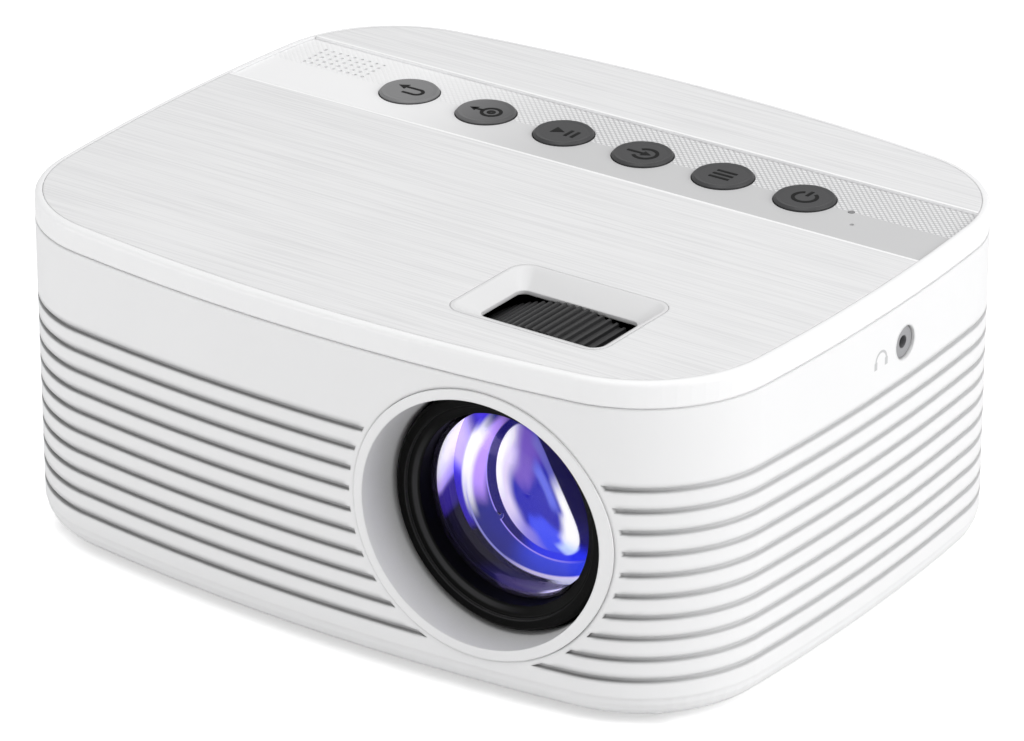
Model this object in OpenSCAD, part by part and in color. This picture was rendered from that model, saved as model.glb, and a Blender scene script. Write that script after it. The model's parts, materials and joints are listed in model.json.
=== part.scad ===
// Compact LED projector with a built-in slim disc drive, as an assembly of separate pieces.
// Millimetres. +Z up, the lens looks towards -Y and +X is its right-hand side seen from the front.
// Origin: middle of the footprint, on the plane that the rubber feet stand on.

/* [Body] */
// Width of the body, left to right
body_w = 236; // [232:1:250]
// Depth of the body, front to back
body_d = 188; // [186:1:200]
// Height of the body, from its underside to the top plates
body_h = 98; // [98:0.5:108]
// Radius of the four upright corners
corner_r = 40; // [36:1:44]
// Bow radius of the front and back walls
front_bow_r = 590; // [540:10:900]
// Bow radius of the two side walls
side_bow_r = 627; // [560:10:900]
// Wall thickness of the lower case
wall = 2.6; // [2.2:0.1:3]
// Thickness of the case floor
floor_t = 2.5; // [2:0.1:3]
// Radius of the rounded bottom edge
bottom_round = 8; // [6:0.5:9]
// How far the rubber feet stand out below the case
foot_h = 2; // [1:0.5:4]
// Diameter of a rubber foot
foot_d = 12; // [9:0.5:14]

/* [Grooves] */
// Number of grooves round the case
groove_count = 10; // [6:1:10]
// Distance between two grooves
groove_pitch = 6.1; // [5.9:0.1:6.3]
// Height of a groove
groove_w = 1.5; // [1:0.1:2]
// Depth of a groove
groove_depth = 1.2; // [0.8:0.1:1.4]
// Height of the lowest groove above the underside
groove_low = 12.9; // [12.5:0.1:13.2]

/* [Lid] */
// Height of the lid
lid_h = 7.4; // [7:0.1:9]
// Width of the lid's rim round the top plates
rim_w = 2.3; // [1.8:0.1:3]
// Thickness of the top plates
plate_t = 1.6; // [1.2:0.1:1.8]
// Thickness of the deck under the plates
deck_t = 2.2; // [1.8:0.1:2.4]
// Front edge of the control strip
strip_front_y = 24; // [20:1:28]
// Back edge of the control strip
strip_back_y = 60; // [56:1:64]
// How far the control strip lies below the top plates
strip_drop = 0.8; // [0.4:0.1:1]

/* [Keys] */
// Number of keys
key_count = 6; // [3:1:6]
// Diameter of a key
key_d = 17.3; // [14:0.1:18]
// Distance between two keys
key_pitch = 26.58; // [24:0.01:27]
// Centre of the first key, left to right
key_first_x = -65.3; // [-68:0.1:-60]
// Centre line of the keys, front to back
key_y = 42.5; // [38:0.1:46]
// How far a key stands above the control strip
key_proud = 1; // [0.9:0.1:2]
// Travel of a key
key_travel = 0.8; // [0.4:0.1:0.9]

/* [Lens] */
// Lens axis, left to right
lens_x = 54; // [50:0.5:56]
// Plain wall above and below the ring round the recess
collar_gap = 9; // [8:0.1:9.5]
// Width of the plain ring round the recess
collar_w = 4.7; // [4:0.1:5]
// Depth of the focus ring's crest below the top plates
ring_sink = 3.5; // [3.4:0.1:5]
// Width of the focus ring
ring_w = 18.8; // [14:0.1:18.8]
// Number of ribs round the focus ring
rib_count = 120; // [90:10:140]
// Depth of a rib
rib_depth = 0.9; // [0.5:0.1:1.2]
// Travel of the lens cell each way
focus_travel = 4; // [2:0.5:5]
// Width of the lens cell's front flange round its tube
flange_w = 4.4; // [4:0.1:5]
// Depth of the front lens's seat behind that flange's face
seat_depth = 10; // [6:0.5:10.5]

/* [Focus window] */
// Distance of the window's middle from the front of the body
window_back = 39; // [38:0.5:40]
// Size of the window at the top, left to right
window_w = 47.5; // [46:0.5:50]
// Size of the window at the top, front to back
window_d = 34; // [32:0.5:36]
// Size of the opening over the ring, left to right
slot_w = 38; // [34:0.5:40]
// Size of the opening over the ring, front to back
slot_d = 20; // [20:0.5:24]
// Depth from the top plates down to that opening
window_depth = 3.7; // [3:0.1:4]

/* [Disc drive] */
// Width of the drive, front to back
drive_w = 128; // [128:0.5:129]
// Depth of the drive, from its mouth inwards
drive_l = 122; // [121.5:0.5:123]
// Height of the drive
drive_h = 11.8; // [11.8:0.1:11.9]
// Distance of the drive's mouth from the side of the body
drive_setback = 10; // [9.8:0.1:10.5]
// Diameter of a disc
disc_d = 120; // [80:1:120]
// How far the tray slides out
tray_travel = 130; // [127:1:132]
// Travel of the pickup sled
sled_travel = 34; // [20:1:34]

/* [Light path] */
// Distance of the lamp axis from the back of the body
light_back = 59; // [58:0.5:60]
// Wall of the light box
engine_wall = 1.8; // [1.4:0.1:2]
// Gap between the cooling fan and the height of the light box, at each end
fan_gap = 1.4; // [1.2:0.1:5]
// Thickness of the cooling fan
fan_t = 15; // [12:0.5:15]
// Number of fan blades
blade_count = 7; // [5:1:9]
// Number of cooling fins
fin_count = 9; // [5:1:11]

/* [Hidden] */
$fn = 96;

// Gap between pieces that are fitted together
fit = 0.1;
// Gap round a piece that moves past another
run = 0.3;
// Overshoot that keeps a cut clear of the faces it goes through
over = 1;
big_fn = 720;

z_under = foot_h;
z_top = foot_h + body_h;
z_part = z_top - lid_h;
floor_z = z_under + floor_t;
plate_z = z_top - plate_t;
deck_z = plate_z - deck_t;
lens_z = z_under + body_h / 2;
window_y = window_back - body_d / 2;
light_y = body_d / 2 - light_back;
collar_r = body_h / 2 - collar_gap;
mouth_r = collar_r - collar_w;
ring_r = body_h / 2 - ring_sink;
groove_z0 = z_under + groove_low;
tray_mid_z = groove_z0 + groove_pitch / 2;

// Centres of the bow arcs and of the corner arcs, each corner tangent inside two bows
front_c = [0, front_bow_r - body_d / 2];
side_c = [body_w / 2 - side_bow_r, 0];
bow_gap = norm(side_c - front_c);
bow_dir = (side_c - front_c) / bow_gap;
front_reach = front_bow_r - corner_r;
side_reach = side_bow_r - corner_r;
along = (front_reach * front_reach - side_reach * side_reach + bow_gap * bow_gap) / (2 * bow_gap);
across = sqrt(front_reach * front_reach - along * along);
corner_c = front_c + along * bow_dir + across * [-bow_dir[1], bow_dir[0]];
front_turn = atan2(corner_c[1] - front_c[1], corner_c[0] - front_c[0]);
side_turn = atan2(corner_c[1] - side_c[1], corner_c[0] - side_c[0]);

// Y of the outer face of the front wall at a given x, on the bow
function front_y(x) = front_c[1] - sqrt(front_bow_r * front_bow_r - x * x);
function back_y(x) = -front_y(x);
function arc(c, r, from, to, steps) =
    [for (i = [0:steps]) let (t = from + (to - from) * i / steps) c + r * [cos(t), sin(t)]];
// One quarter of the outline, closed through the middle of the plan
function quarter(inset) = concat(
    [[0, 0]],
    arc(front_c, front_bow_r - inset, -90, front_turn, 5),
    arc(corner_c, corner_r - inset, front_turn, side_turn, 14),
    arc(side_c, side_bow_r - inset, side_turn, 0, 5)
);
function key_x(i) = key_first_x + i * key_pitch;

module four_ways() {
    for (sx = [0, 1], sy = [0, 1])
        mirror([sx, 0, 0])
            mirror([0, sy, 0])
                children();
}

// The outline as true arcs. A corner arc stands out by a hair, so that it crosses the bows cleanly.
module outline(inset = 0) {
    corner_proud = 0.02;
    reach = corner_r + 40;
    difference() {
        intersection() {
            bow_disc(inset, 0);
            bow_disc(inset, 1);
            bow_disc(inset, 2);
            bow_disc(inset, 3);
        }
        four_ways()
            difference() {
                polygon([
                    corner_c,
                    corner_c + reach * [cos(front_turn), sin(front_turn)],
                    corner_c + 2 * reach * [cos(-45), sin(-45)],
                    corner_c + reach * [cos(side_turn), sin(side_turn)],
                ]);
                translate(corner_c)
                    circle(r = corner_r - inset + corner_proud);
            }
    }
}

// One of the four large discs whose overlap is the bowed outline: front, back, right and left
module bow_disc(inset, which) {
    if (which < 2)
        translate([0, which == 0 ? front_c[1] : -front_c[1]])
            circle(r = front_bow_r - inset, $fn = big_fn);
    else
        translate([which == 2 ? side_c[0] : -side_c[0], 0])
            circle(r = side_bow_r - inset, $fn = big_fn);
}

module slab(inset, from_z, to_z) {
    translate([0, 0, from_z])
        linear_extrude(to_z - from_z)
            outline(inset);
}

module ring_slab(outer_inset, inner_inset, from_z, to_z) {
    translate([0, 0, from_z])
        linear_extrude(to_z - from_z)
            difference() {
                outline(outer_inset);
                outline(inner_inset);
            }
}

// A closed form through levels of [inset, height]
module lofted(levels) {
    sheet = 0.01;
    hull()
        for (level = levels)
            translate([0, 0, level[1]])
                four_ways()
                    linear_extrude(sheet)
                        polygon(quarter(level[0]));
}

// Local Z runs along the lens axis, towards the back of the body
module on_lens_axis() {
    translate([lens_x, 0, lens_z])
        rotate([-90, 0, 0])
            children();
}

// Local Z runs along the lamp axis, towards +X
module on_lamp_axis() {
    translate([0, light_y, lens_z])
        rotate([0, 90, 0])
            children();
}

module rounded_rect(w, d, r) {
    x = w / 2 - r;
    y = d / 2 - r;
    square([w - 2 * r, d], center = true);
    square([w, d - 2 * r], center = true);
    for (sx = [-1, 1], sy = [-1, 1])
        translate([sx * x, sy * y])
            circle(r = r);
}

module post(x, y, r, from_z, to_z) {
    translate([x, y, from_z])
        cylinder(r = r, h = to_z - from_z);
}

// ---------------------------------------------------------------- housing

boss_r = 4.5;
boss_inset = 20;
boss_x = body_w / 2 - boss_inset;
boss_y = body_d / 2 - boss_inset;
boss_top = z_part - 4.6;
screw_head_r = 2.8;
screw_r = 1.45;
screw_seat = boss_top - 7;
foot_x = body_w / 2 - 34;
foot_y = body_d / 2 - 34;
foot_sink = 1;
insert_r = 5;
insert_l = 8;
chassis_t = 1.5;
drive_x0 = -body_w / 2 + drive_setback;
drive_x1 = drive_x0 + drive_l;
drive_z0 = tray_mid_z - 6.9;
chassis_z = drive_z0 + drive_h + 0.25;
engine_z = chassis_z + chassis_t;
engine_half_h = lens_z - engine_z;
fan_size = 2 * (engine_half_h - fan_gap);
board_z = floor_z + 3.5;
board_t = 1.6;
bezel_gap = 0.2;
bezel_half_w = drive_w / 2 + 2;
bezel_half_h = groove_pitch;
jack_y = 13.9;
jack_z = z_top - 19.4;
jack_hole_r = 4.75;
socket_z = board_z + board_t;
inlet_x = -70;
inlet_w = 22;
inlet_h = 11;
pillar_points = [
    [-body_w / 2 + 20, -body_d / 2 + 24], [-40, -body_d / 2 + 14], [6, -body_d / 2 + 20],
    [body_w / 2 - 12, -6], [body_w / 2 - 12, 40], [-body_w / 2 + 24, body_d / 2 - 22],
];

module groove(i) {
    z = groove_z0 + i * groove_pitch;
    difference() {
        ring_slab(-over, groove_depth, z - groove_w / 2, z + groove_w / 2);
        translate([lens_x, -body_d / 2 - 20, lens_z])
            rotate([-90, 0, 0])
                cylinder(r = collar_r, h = body_d / 2);
        // The lowest grooves stop beside the sockets
        if (i < 2)
            translate([-88, 0, z - groove_w])
                cube([146, body_d, 2 * groove_w]);
    }
}

// Grooves that run right through the wall beside the fan and behind the light box
module vent_slots() {
    slot_l = 13;
    web = 2.2;
    for (i = [2:groove_count - 1]) {
        z = groove_z0 + i * groove_pitch;
        for (k = [-1:1])
            translate([-body_w / 2 - over, light_y + k * (slot_l + web) - slot_l / 2, z - groove_w / 2])
                cube([wall + 9, slot_l, groove_w]);
        if (i > 2 && i < 8)
            for (k = [-2:2])
                translate([k * (slot_l + web) - slot_l / 2, body_d / 2 - wall - 4, z - groove_w / 2])
                    cube([slot_l, wall + 9, groove_w]);
    }
}

module socket_cut(x, w, h) {
    translate([x - w / 2, back_y(x) - wall - 3, socket_z - 0.2])
        cube([w, wall + 9, h]);
}

module lower_case() {
    pan_top = z_under + bottom_round;
    seam_inset = 0.05;
    edge = [for (t = [0:18:90]) [bottom_round * (1 - sin(t)) + seam_inset,
        z_under + bottom_round * (1 - cos(t))]];
    color("whitesmoke")
        difference() {
            union() {
                difference() {
                    union() {
                        ring_slab(0, wall, pan_top - 0.6, z_part);
                        lofted(edge);
                    }
                    slab(wall + 3, floor_z, pan_top - 2);
                    slab(wall, pan_top - 2.01, pan_top + over);
                }
                for (sx = [-1, 1], sy = [-1, 1]) {
                    post(sx * boss_x, sy * boss_y, boss_r, floor_z - 0.5, boss_top);
                }
                for (p = pillar_points)
                    post(p[0], p[1], 3.2, floor_z - 0.5, chassis_z);
                for (sx = [0, 1], sy = [-1, 1])
                    post(drive_x0 + 12 + sx * (drive_l - 24), sy * (drive_w / 2 - 8), 4,
                        floor_z - 0.5, drive_z0);
                for (p = main_board_posts)
                    post(p[0], p[1], 3, floor_z - 0.5, board_z);
                post(0, 0, insert_r + 3, floor_z - 0.5, z_under + insert_l);
                post(body_w / 2 - 9, jack_y, 2.4, floor_z - 0.5, jack_z - 6.4);
            }
            for (sx = [-1, 1], sy = [-1, 1]) {
                post(sx * boss_x, sy * boss_y, screw_r + 0.25, screw_seat - over, boss_top + over);
                post(sx * boss_x, sy * boss_y, screw_head_r + 0.3, z_under - over, screw_seat);
                post(sx * foot_x, sy * foot_y, foot_d / 2 + fit, z_under - over, z_under + foot_sink);
            }
            post(0, 0, insert_r, z_under - over, z_under + insert_l + over);
            for (i = [0:groove_count - 1])
                groove(i);
            vent_slots();
            // Opening for the lens collar
            translate([lens_x, -body_d / 2 - over, lens_z])
                rotate([-90, 0, 0])
                    cylinder(r = collar_hole_r, h = 24);
            // Mouth of the disc tray
            translate([-body_w / 2 - over, -bezel_half_w, tray_mid_z - bezel_half_h])
                cube([16, 2 * bezel_half_w, 2 * bezel_half_h]);
            // Headphone socket
            translate([body_w / 2 - wall - over, jack_y, jack_z])
                rotate([0, 90, 0])
                    cylinder(r = jack_hole_r, h = wall + 2 * over);
            // Rear sockets and mains inlet
            for (s = socket_list)
                socket_cut(s[0], s[1] + 0.8, s[2] + 0.6);
            translate([inlet_x - inlet_w / 2 - 0.3, back_y(inlet_x) - wall - 3, floor_z + 4.2])
                cube([inlet_w + 0.6, wall + 9, inlet_h + 0.6]);
        }
}

lip_gap = 0.25;
lip_t = 1.4;
lip_drop = 2.6;

module lid() {
    top_round = 1.5;
    seam = 0.5;
    edge = [for (t = [0:22.5:90]) [top_round * (1 - cos(t)), z_top - top_round * (1 - sin(t))]];
    color("white")
        difference() {
            union() {
                difference() {
                    lofted(concat([[seam, z_part], [0, z_part + seam]], edge));
                    slab(rim_w, z_part - over, deck_z);
                    slab(rim_w, plate_z, z_top + over);
                }
                ring_slab(wall + lip_gap, wall + lip_gap + lip_t, z_part - lip_drop, deck_z + 0.5);
                for (sx = [-1, 1], sy = [-1, 1])
                    post(sx * boss_x, sy * boss_y, 3.6, boss_top + 0.2, deck_z + 0.5);
            }
            for (sx = [-1, 1], sy = [-1, 1])
                post(sx * boss_x, sy * boss_y, screw_r + 0.02, boss_top - over, deck_z + 0.4);
            for (i = [0:key_count - 1])
                post(key_x(i), key_y, key_d / 2 + run, deck_z - over, z_top);
            post(status_x, key_y, 1.2, deck_z - over, z_top);
            sound_holes(deck_z - over, z_top);
            window_hole(deck_z - over, z_top + over, trim_land + 0.25);
        }
}

trim_land = 1;
window_x = lens_x;
window_r = 4.5;

module window_hole(from_z, to_z, grow) {
    translate([window_x, window_y, from_z])
        linear_extrude(to_z - from_z)
            rounded_rect(window_w + 2 * grow, window_d + 2 * grow, window_r + grow);
}

module focus_window_trim() {
    sill = 1.1;
    color("white")
        difference() {
            window_hole(z_top - window_depth - sill, z_top, trim_land);
            hull() {
                translate([window_x, window_y, z_top])
                    linear_extrude(0.02)
                        rounded_rect(window_w, window_d, window_r, $fn = 32);
                translate([lens_x, window_y, z_top - window_depth])
                    linear_extrude(0.02)
                        rounded_rect(slot_w, slot_d, 2.5, $fn = 32);
            }
            translate([lens_x, window_y, z_top - window_depth - sill - over])
                linear_extrude(sill + 2 * over)
                    rounded_rect(slot_w, slot_d, 2.5);
        }
}

plate_gap = 0.1;

module front_top_plate() {
    color("gainsboro")
        difference() {
            intersection() {
                slab(rim_w + plate_gap, plate_z, z_top);
                translate([-body_w / 2, -body_d / 2, plate_z - over])
                    cube([body_w, body_d / 2 + strip_front_y, plate_t + 2 * over]);
            }
            window_hole(plate_z - over, z_top + over, trim_land + 0.1);
        }
}

module rear_top_plate() {
    color("gainsboro")
        intersection() {
            slab(rim_w + plate_gap, plate_z, z_top);
            translate([-body_w / 2, strip_back_y, plate_z - over])
                cube([body_w, body_d / 2, plate_t + 2 * over]);
        }
}

status_x = key_first_x + 5 * key_pitch + 14.9;
sensor_x = status_x + 4.5;
sensor_y = key_y - 7.1;

// Perforations over the speaker
module sound_holes(from_z, to_z) {
    pitch = 2.6;
    for (i = [-4:4], j = [0:4])
        post(speaker_x + i * pitch, key_y + 2 + j * pitch, 0.65, from_z, to_z);
}

module control_strip() {
    strip_z = z_top - strip_drop;
    color("lightgray")
        difference() {
            intersection() {
                slab(rim_w + plate_gap, plate_z, strip_z);
                translate([-body_w / 2, strip_front_y + plate_gap, plate_z - over])
                    cube([body_w, strip_back_y - strip_front_y - 2 * plate_gap, plate_t + over]);
            }
            for (i = [0:key_count - 1])
                post(key_x(i), key_y, key_d / 2 + run, plate_z - over, z_top);
            post(status_x, key_y, 1, plate_z - over, z_top);
            post(sensor_x, sensor_y, 0.7, plate_z - over, z_top);
            sound_holes(plate_z - over, z_top);
        }
}

collar_hole_r = collar_r - 1.6;

// White sleeve of the lens recess. Its front face follows the bowed front and corner of the body.
module lens_collar() {
    proud = 0.5;
    flange_r = collar_r + 1.5;
    back_y0 = -body_d / 2 + 16;
    color("white")
        difference() {
            union() {
                intersection() {
                    on_lens_axis()
                        translate([0, 0, -body_d / 2 - 2])
                            cylinder(r = collar_hole_r - fit, h = 18);
                    slab(-proud, lens_z - 60, lens_z + 60);
                }
                intersection() {
                    on_lens_axis()
                        translate([0, 0, -body_d / 2])
                            cylinder(r = flange_r, h = 16);
                    ring_slab(wall + 0.05, wall + 1.8, lens_z - flange_r, z_part - lip_drop - run);
                }
            }
            on_lens_axis()
                rotate_extrude()
                    polygon([[0, -body_d / 2 - 6], [mouth_r + 0.9, -body_d / 2 - 6],
                        [mouth_r, -body_d / 2 + 2], [mouth_r - 1.4, back_y0 + 4], [0, back_y0 + 4]]);
        }
}

module rubber_feet() {
    color("dimgray")
        for (sx = [-1, 1], sy = [-1, 1])
            translate([sx * foot_x, sy * foot_y, 0])
                rotate_extrude()
                    polygon([[0, 0], [foot_d / 2 - 0.8, 0], [foot_d / 2, 0.8],
                        [foot_d / 2, foot_h + foot_sink], [0, foot_h + foot_sink]]);
}

module case_screws() {
    color("silver")
        for (sx = [-1, 1], sy = [-1, 1])
            translate([sx * boss_x, sy * boss_y, 0])
                difference() {
                    union() {
                        translate([0, 0, screw_seat - 2.2])
                            cylinder(r = screw_head_r, h = 2.2);
                        translate([0, 0, screw_seat - 0.1])
                            cylinder(r = screw_r, h = deck_z - screw_seat);
                    }
                    translate([0, 0, screw_seat - 2.3])
                        linear_extrude(1.3)
                            for (a = [0, 90])
                                rotate(a)
                                    square([3.2, 0.8], center = true);
                }
}

tripod_r = 2.6;

module tripod_insert() {
    color("goldenrod")
        translate([0, 0, z_under])
            difference() {
                cylinder(r = insert_r - 0.02, h = insert_l);
                translate([0, 0, -over])
                    cylinder(r = tripod_r, h = insert_l - 1 + over);
            }
}

// ---------------------------------------------------------------- keys

key_flange_t = 1;
key_board_t = 1.6;
key_top = z_top - strip_drop + key_proud;
key_stem_z = deck_z - 3.2;
switch_top = key_stem_z - key_travel - 0.1;
key_board_z = switch_top - 3.4 - key_board_t;
key_board_back = key_y + 9;

module key(i) {
    rim = 0.6;
    dish = 0.25;
    r = key_d / 2;
    color("dimgray")
        translate([key_x(i), key_y, 0])
            rotate_extrude()
                polygon([
                    [0, key_stem_z], [2.2, key_stem_z], [2.2, deck_z - 0.4 - key_flange_t],
                    [r + 1.4, deck_z - 0.4 - key_flange_t], [r + 1.4, deck_z - 0.4],
                    [r, deck_z - 0.4], [r, key_top - rim], [r - rim, key_top],
                    [r - 3 * rim, key_top - dish], [0, key_top - dish],
                ]);
}

module key_1() { key(0); }
module key_2() { key(1); }
module key_3() { key(2); }
module key_4() { key(3); }
module key_5() { key(4); }
module key_6() { key(5); }

module key_board() {
    x0 = key_first_x - 11;
    x1 = status_x + 8;
    color("seagreen")
        difference() {
            union() {
                translate([x0, key_board_back - 18, key_board_z])
                    cube([x1 - x0, 18, key_board_t]);
                // Tact switches
                for (i = [0:key_count - 1]) {
                    translate([key_x(i) - 3, key_y - 3, key_board_z + key_board_t])
                        cube([6, 6, 2.6]);
                    post(key_x(i), key_y, 1.7, key_board_z + key_board_t, switch_top);
                }
            }
            for (x = key_board_screws)
                post(x, key_board_back - 3, 1.2, key_board_z - over, key_board_z + key_board_t + over);
        }
    // Standoffs up to the deck
    color("silver")
        for (x = key_board_screws)
            post(x, key_board_back - 3, 2.4, key_board_z + key_board_t, deck_z);
}

key_board_screws = [key_first_x + key_pitch / 2, key_first_x + 4.5 * key_pitch];

module status_light() {
    color("aliceblue")
        post(status_x, key_y, 0.9, key_board_z + key_board_t, z_top - strip_drop + 0.1);
}

// ---------------------------------------------------------------- light path

case_x0 = -body_w / 2 + 42;
lamp_half_y = 21;
path_half_y = 47.4;
funnel_x = lens_x - 78;
front_wall_y = 73 - body_d / 2;
lens_box_half = 36;
mirror_t = 3;
mirror_half_l = 40;
plate_half_y = path_half_y - engine_wall - 0.3;
plate_half_z = engine_half_h - engine_wall - 0.3;
diag = lens_x + light_y + mirror_t * sqrt(2) + 0.4;
diag_out = diag + engine_wall * sqrt(2);

// Plan of the light box: a funnel from the lamp, a straight gate and a turn behind the lens
module light_plan() {
    polygon([
        [case_x0, light_y - lamp_half_y], [funnel_x, light_y - path_half_y],
        [lens_x - lens_box_half, light_y - path_half_y], [lens_x - lens_box_half, front_wall_y],
        [lens_x + lens_box_half, front_wall_y], [lens_x + lens_box_half, diag_out - lens_x - lens_box_half],
        [diag_out - light_y - path_half_y, light_y + path_half_y], [funnel_x, light_y + path_half_y],
        [case_x0, light_y + lamp_half_y],
    ]);
}

gate_xs = [for (gap = [72, 63, 53, 45]) lens_x - gap];
gate_ts = [1.2, 2, 3, 2];
rib_t = 1.2;
rib_in = 2;

module gate_ribs(i) {
    for (side = [-1, 1], edge = [-1, 1])
        translate([gate_xs[i] + edge * (gate_ts[i] / 2 + 0.15 + rib_t / 2),
                light_y + side * (path_half_y - engine_wall / 2 - rib_in / 2), lens_z])
            cube([rib_t, engine_wall + rib_in, 2 * engine_half_h - 2 * engine_wall], center = true);
}

module light_box() {
    color("dimgray")
        difference() {
            union() {
                difference() {
                    translate([0, 0, engine_z])
                        linear_extrude(2 * engine_half_h - engine_wall)
                            light_plan();
                    translate([0, 0, engine_z + engine_wall])
                        linear_extrude(2 * engine_half_h)
                            offset(delta = -engine_wall)
                                light_plan();
                }
                for (i = [0:3])
                    gate_ribs(i);
            }
            // Lamp window and lens port
            on_lamp_axis()
                translate([0, 0, case_x0 - over])
                    cylinder(r = condenser_r - 1.5, h = engine_wall + 2 * over);
            on_lens_axis()
                translate([0, 0, front_wall_y - over])
                    cylinder(r = tube_r - 4.5, h = engine_wall + 2 * over);
        }
}

module light_box_cover() {
    color("dimgray")
        translate([0, 0, lens_z + engine_half_h - engine_wall])
            linear_extrude(engine_wall)
                light_plan();
}

led_board_t = 1.6;

module led_module() {
    color("khaki")
        on_lamp_axis() {
            translate([-17, -17, case_x0 - led_board_t])
                cube([34, 34, led_board_t]);
            translate([0, 0, case_x0 - 0.1])
                cylinder(r = 7, h = 1.3);
        }
}

sink_base = 4;
sink_depth = 13;
sink_half = engine_half_h - 2.4;
sink_x = case_x0 - led_board_t;

module heat_sink() {
    fin_t = 1.2;
    color("silver")
        translate([sink_x, light_y, lens_z]) {
            translate([-sink_base, -sink_half, -sink_half])
                cube([sink_base, 2 * sink_half, 2 * sink_half]);
            for (i = [0:fin_count - 1])
                translate([-sink_depth, -sink_half + i * (2 * sink_half - fin_t) / (fin_count - 1), -sink_half])
                    cube([sink_depth, fin_t, 2 * sink_half]);
        }
}

condenser_r = engine_half_h - 6.9;

module condenser_lens() {
    bulge = 30;
    seat = case_x0 + engine_wall + 0.05;
    color("lightcyan")
        on_lamp_axis()
            intersection() {
                translate([0, 0, seat])
                    cylinder(r = condenser_r, h = 14);
                translate([0, 0, seat + 10 - bulge])
                    sphere(r = bulge);
            }
}

module gate_plate(i) {
    translate([gate_xs[i] - gate_ts[i] / 2, light_y - plate_half_y, engine_z + engine_wall])
        cube([gate_ts[i], 2 * plate_half_y, 2 * plate_half_z]);
}

module heat_glass() {
    color("lightblue")
        gate_plate(0);
}

module collimating_lens() {
    color("azure")
        gate_plate(1);
}

module picture_panel() {
    frame_in = 4;
    color("darkslategray")
        difference() {
            gate_plate(2);
            for (side = [-1, 1])
                translate([gate_xs[2] + side * gate_ts[2] / 2 - 0.6, light_y - plate_half_y + frame_in,
                        engine_z + engine_wall + frame_in])
                    cube([1.2, 2 * (plate_half_y - frame_in), 2 * (plate_half_z - frame_in)]);
        }
}

module field_lens() {
    color("azure")
        gate_plate(3);
}

module fold_mirror() {
    color("lightsteelblue")
        translate([lens_x, light_y, engine_z + engine_wall])
            rotate([0, 0, -45])
                translate([-mirror_half_l, 0, 0])
                    cube([2 * mirror_half_l, mirror_t, 2 * plate_half_z]);
}

// ---------------------------------------------------------------- lens

flange_r = mouth_r - 1.9;
tube_r = flange_r - flange_w;
front_lens_r = tube_r - 2.2;
barrel_in_r = tube_r + run;
barrel_r = tube_r + 3;
ring_in_r = barrel_r + run;
ring_y0 = window_y - ring_w / 2;
ring_y1 = window_y + ring_w / 2;
flange_y0 = 11.4 - body_d / 2;
flange_t = 4.6;
cell_back_y = 62 - body_d / 2;
seat_y = flange_y0 + seat_depth;
barrel_front_y = flange_y0 + flange_t + focus_travel + 1.5;

module lens_barrel() {
    color("dimgray")
        on_lens_axis()
            difference() {
                rotate_extrude()
                    polygon([
                        [barrel_in_r, barrel_front_y], [barrel_r, barrel_front_y],
                        [barrel_r, ring_y1 + 0.4], [barrel_r + 2.2, ring_y1 + 0.4],
                        [barrel_r + 2.2, ring_y1 + 2.4], [barrel_r, ring_y1 + 2.4],
                        [barrel_r, front_wall_y - 3], [barrel_r + 4, front_wall_y - 3],
                        [barrel_r + 4, front_wall_y], [tube_r - 5, front_wall_y],
                        [tube_r - 5, front_wall_y - 3], [barrel_in_r, front_wall_y - 3],
                    ]);
                // Guide slot for the cell's pin
                translate([-1.7, -barrel_r - over, cell_back_y - 12])
                    cube([3.4, 4 + over, 16]);
            }
}

module ring_retainer() {
    color("dimgray")
        on_lens_axis()
            translate([0, 0, ring_y0 - 2])
                difference() {
                    cylinder(r = barrel_r + 2, h = 1.6);
                    translate([0, 0, -over])
                        cylinder(r = barrel_r + 0.02, h = 4);
                }
}

// Ribbed rim of the focus ring, its ribs parallel to the lens axis
module ribbed_disc() {
    step = 360 / rib_count;
    polygon([for (i = [0:rib_count - 1], k = [0:3])
        let (t = (i + [0, 0.3, 0.45, 0.85][k]) * step, r = ring_r - (k < 2 ? 0 : rib_depth))
            r * [cos(t), sin(t)]]);
}

module focus_ring() {
    rim_in = ring_r - 4.5;
    hub_r = ring_in_r + 2.4;
    web_half = 2.5;
    color("dimgray")
        on_lens_axis() {
            difference() {
                translate([0, 0, ring_y0])
                    linear_extrude(ring_w)
                        ribbed_disc();
                translate([0, 0, ring_y0 - over])
                    cylinder(r = ring_in_r, h = ring_w + 2 * over);
                for (y = [ring_y0 - over, window_y + web_half])
                    translate([0, 0, y])
                        difference() {
                            cylinder(r = rim_in, h = ring_w / 2 - web_half + over);
                            translate([0, 0, -over])
                                cylinder(r = hub_r, h = ring_w + over);
                        }
            }
        }
}

module lens_cell() {
    bore = front_lens_r + 0.2;
    color("black")
        on_lens_axis() {
            rotate_extrude()
                polygon([
                    [bore, flange_y0 + 2.4], [bore + 2.4, flange_y0 + 0.9], [bore + 3, flange_y0 + 0.9],
                    [bore + 3, flange_y0], [flange_r - 1, flange_y0], [flange_r, flange_y0 + 1],
                    [flange_r, flange_y0 + flange_t], [tube_r, flange_y0 + flange_t],
                    [tube_r, cell_back_y], [bore - 2, cell_back_y], [bore - 2, cell_back_y - 1.4],
                    [bore, cell_back_y - 1.4], [bore, seat_y + 2], [bore - 2, seat_y + 2],
                    [bore - 2, seat_y], [bore, seat_y],
                ]);
            // Guide pin that runs in the barrel's slot
            translate([0, -tube_r + 0.6, cell_back_y - 4])
                rotate([90, 0, 0])
                    cylinder(r = 1.5, h = 3.2);
        }
}

module lens_spacer() {
    y0 = seat_y + 2.1;
    y1 = cell_back_y - 8.6;
    r = front_lens_r;
    color("black")
        on_lens_axis()
            rotate_extrude()
                polygon([
                    [r - 2, y0], [r, y0], [r, y1], [r - 2.6, y1], [r - 2.6, y0 + 14.4],
                    [r - 6, y0 + 14.4], [r - 6, y0 + 12.8], [r - 2.6, y0 + 12.8],
                    [r - 2.6, y0 + 2],
                ]);
}

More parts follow.
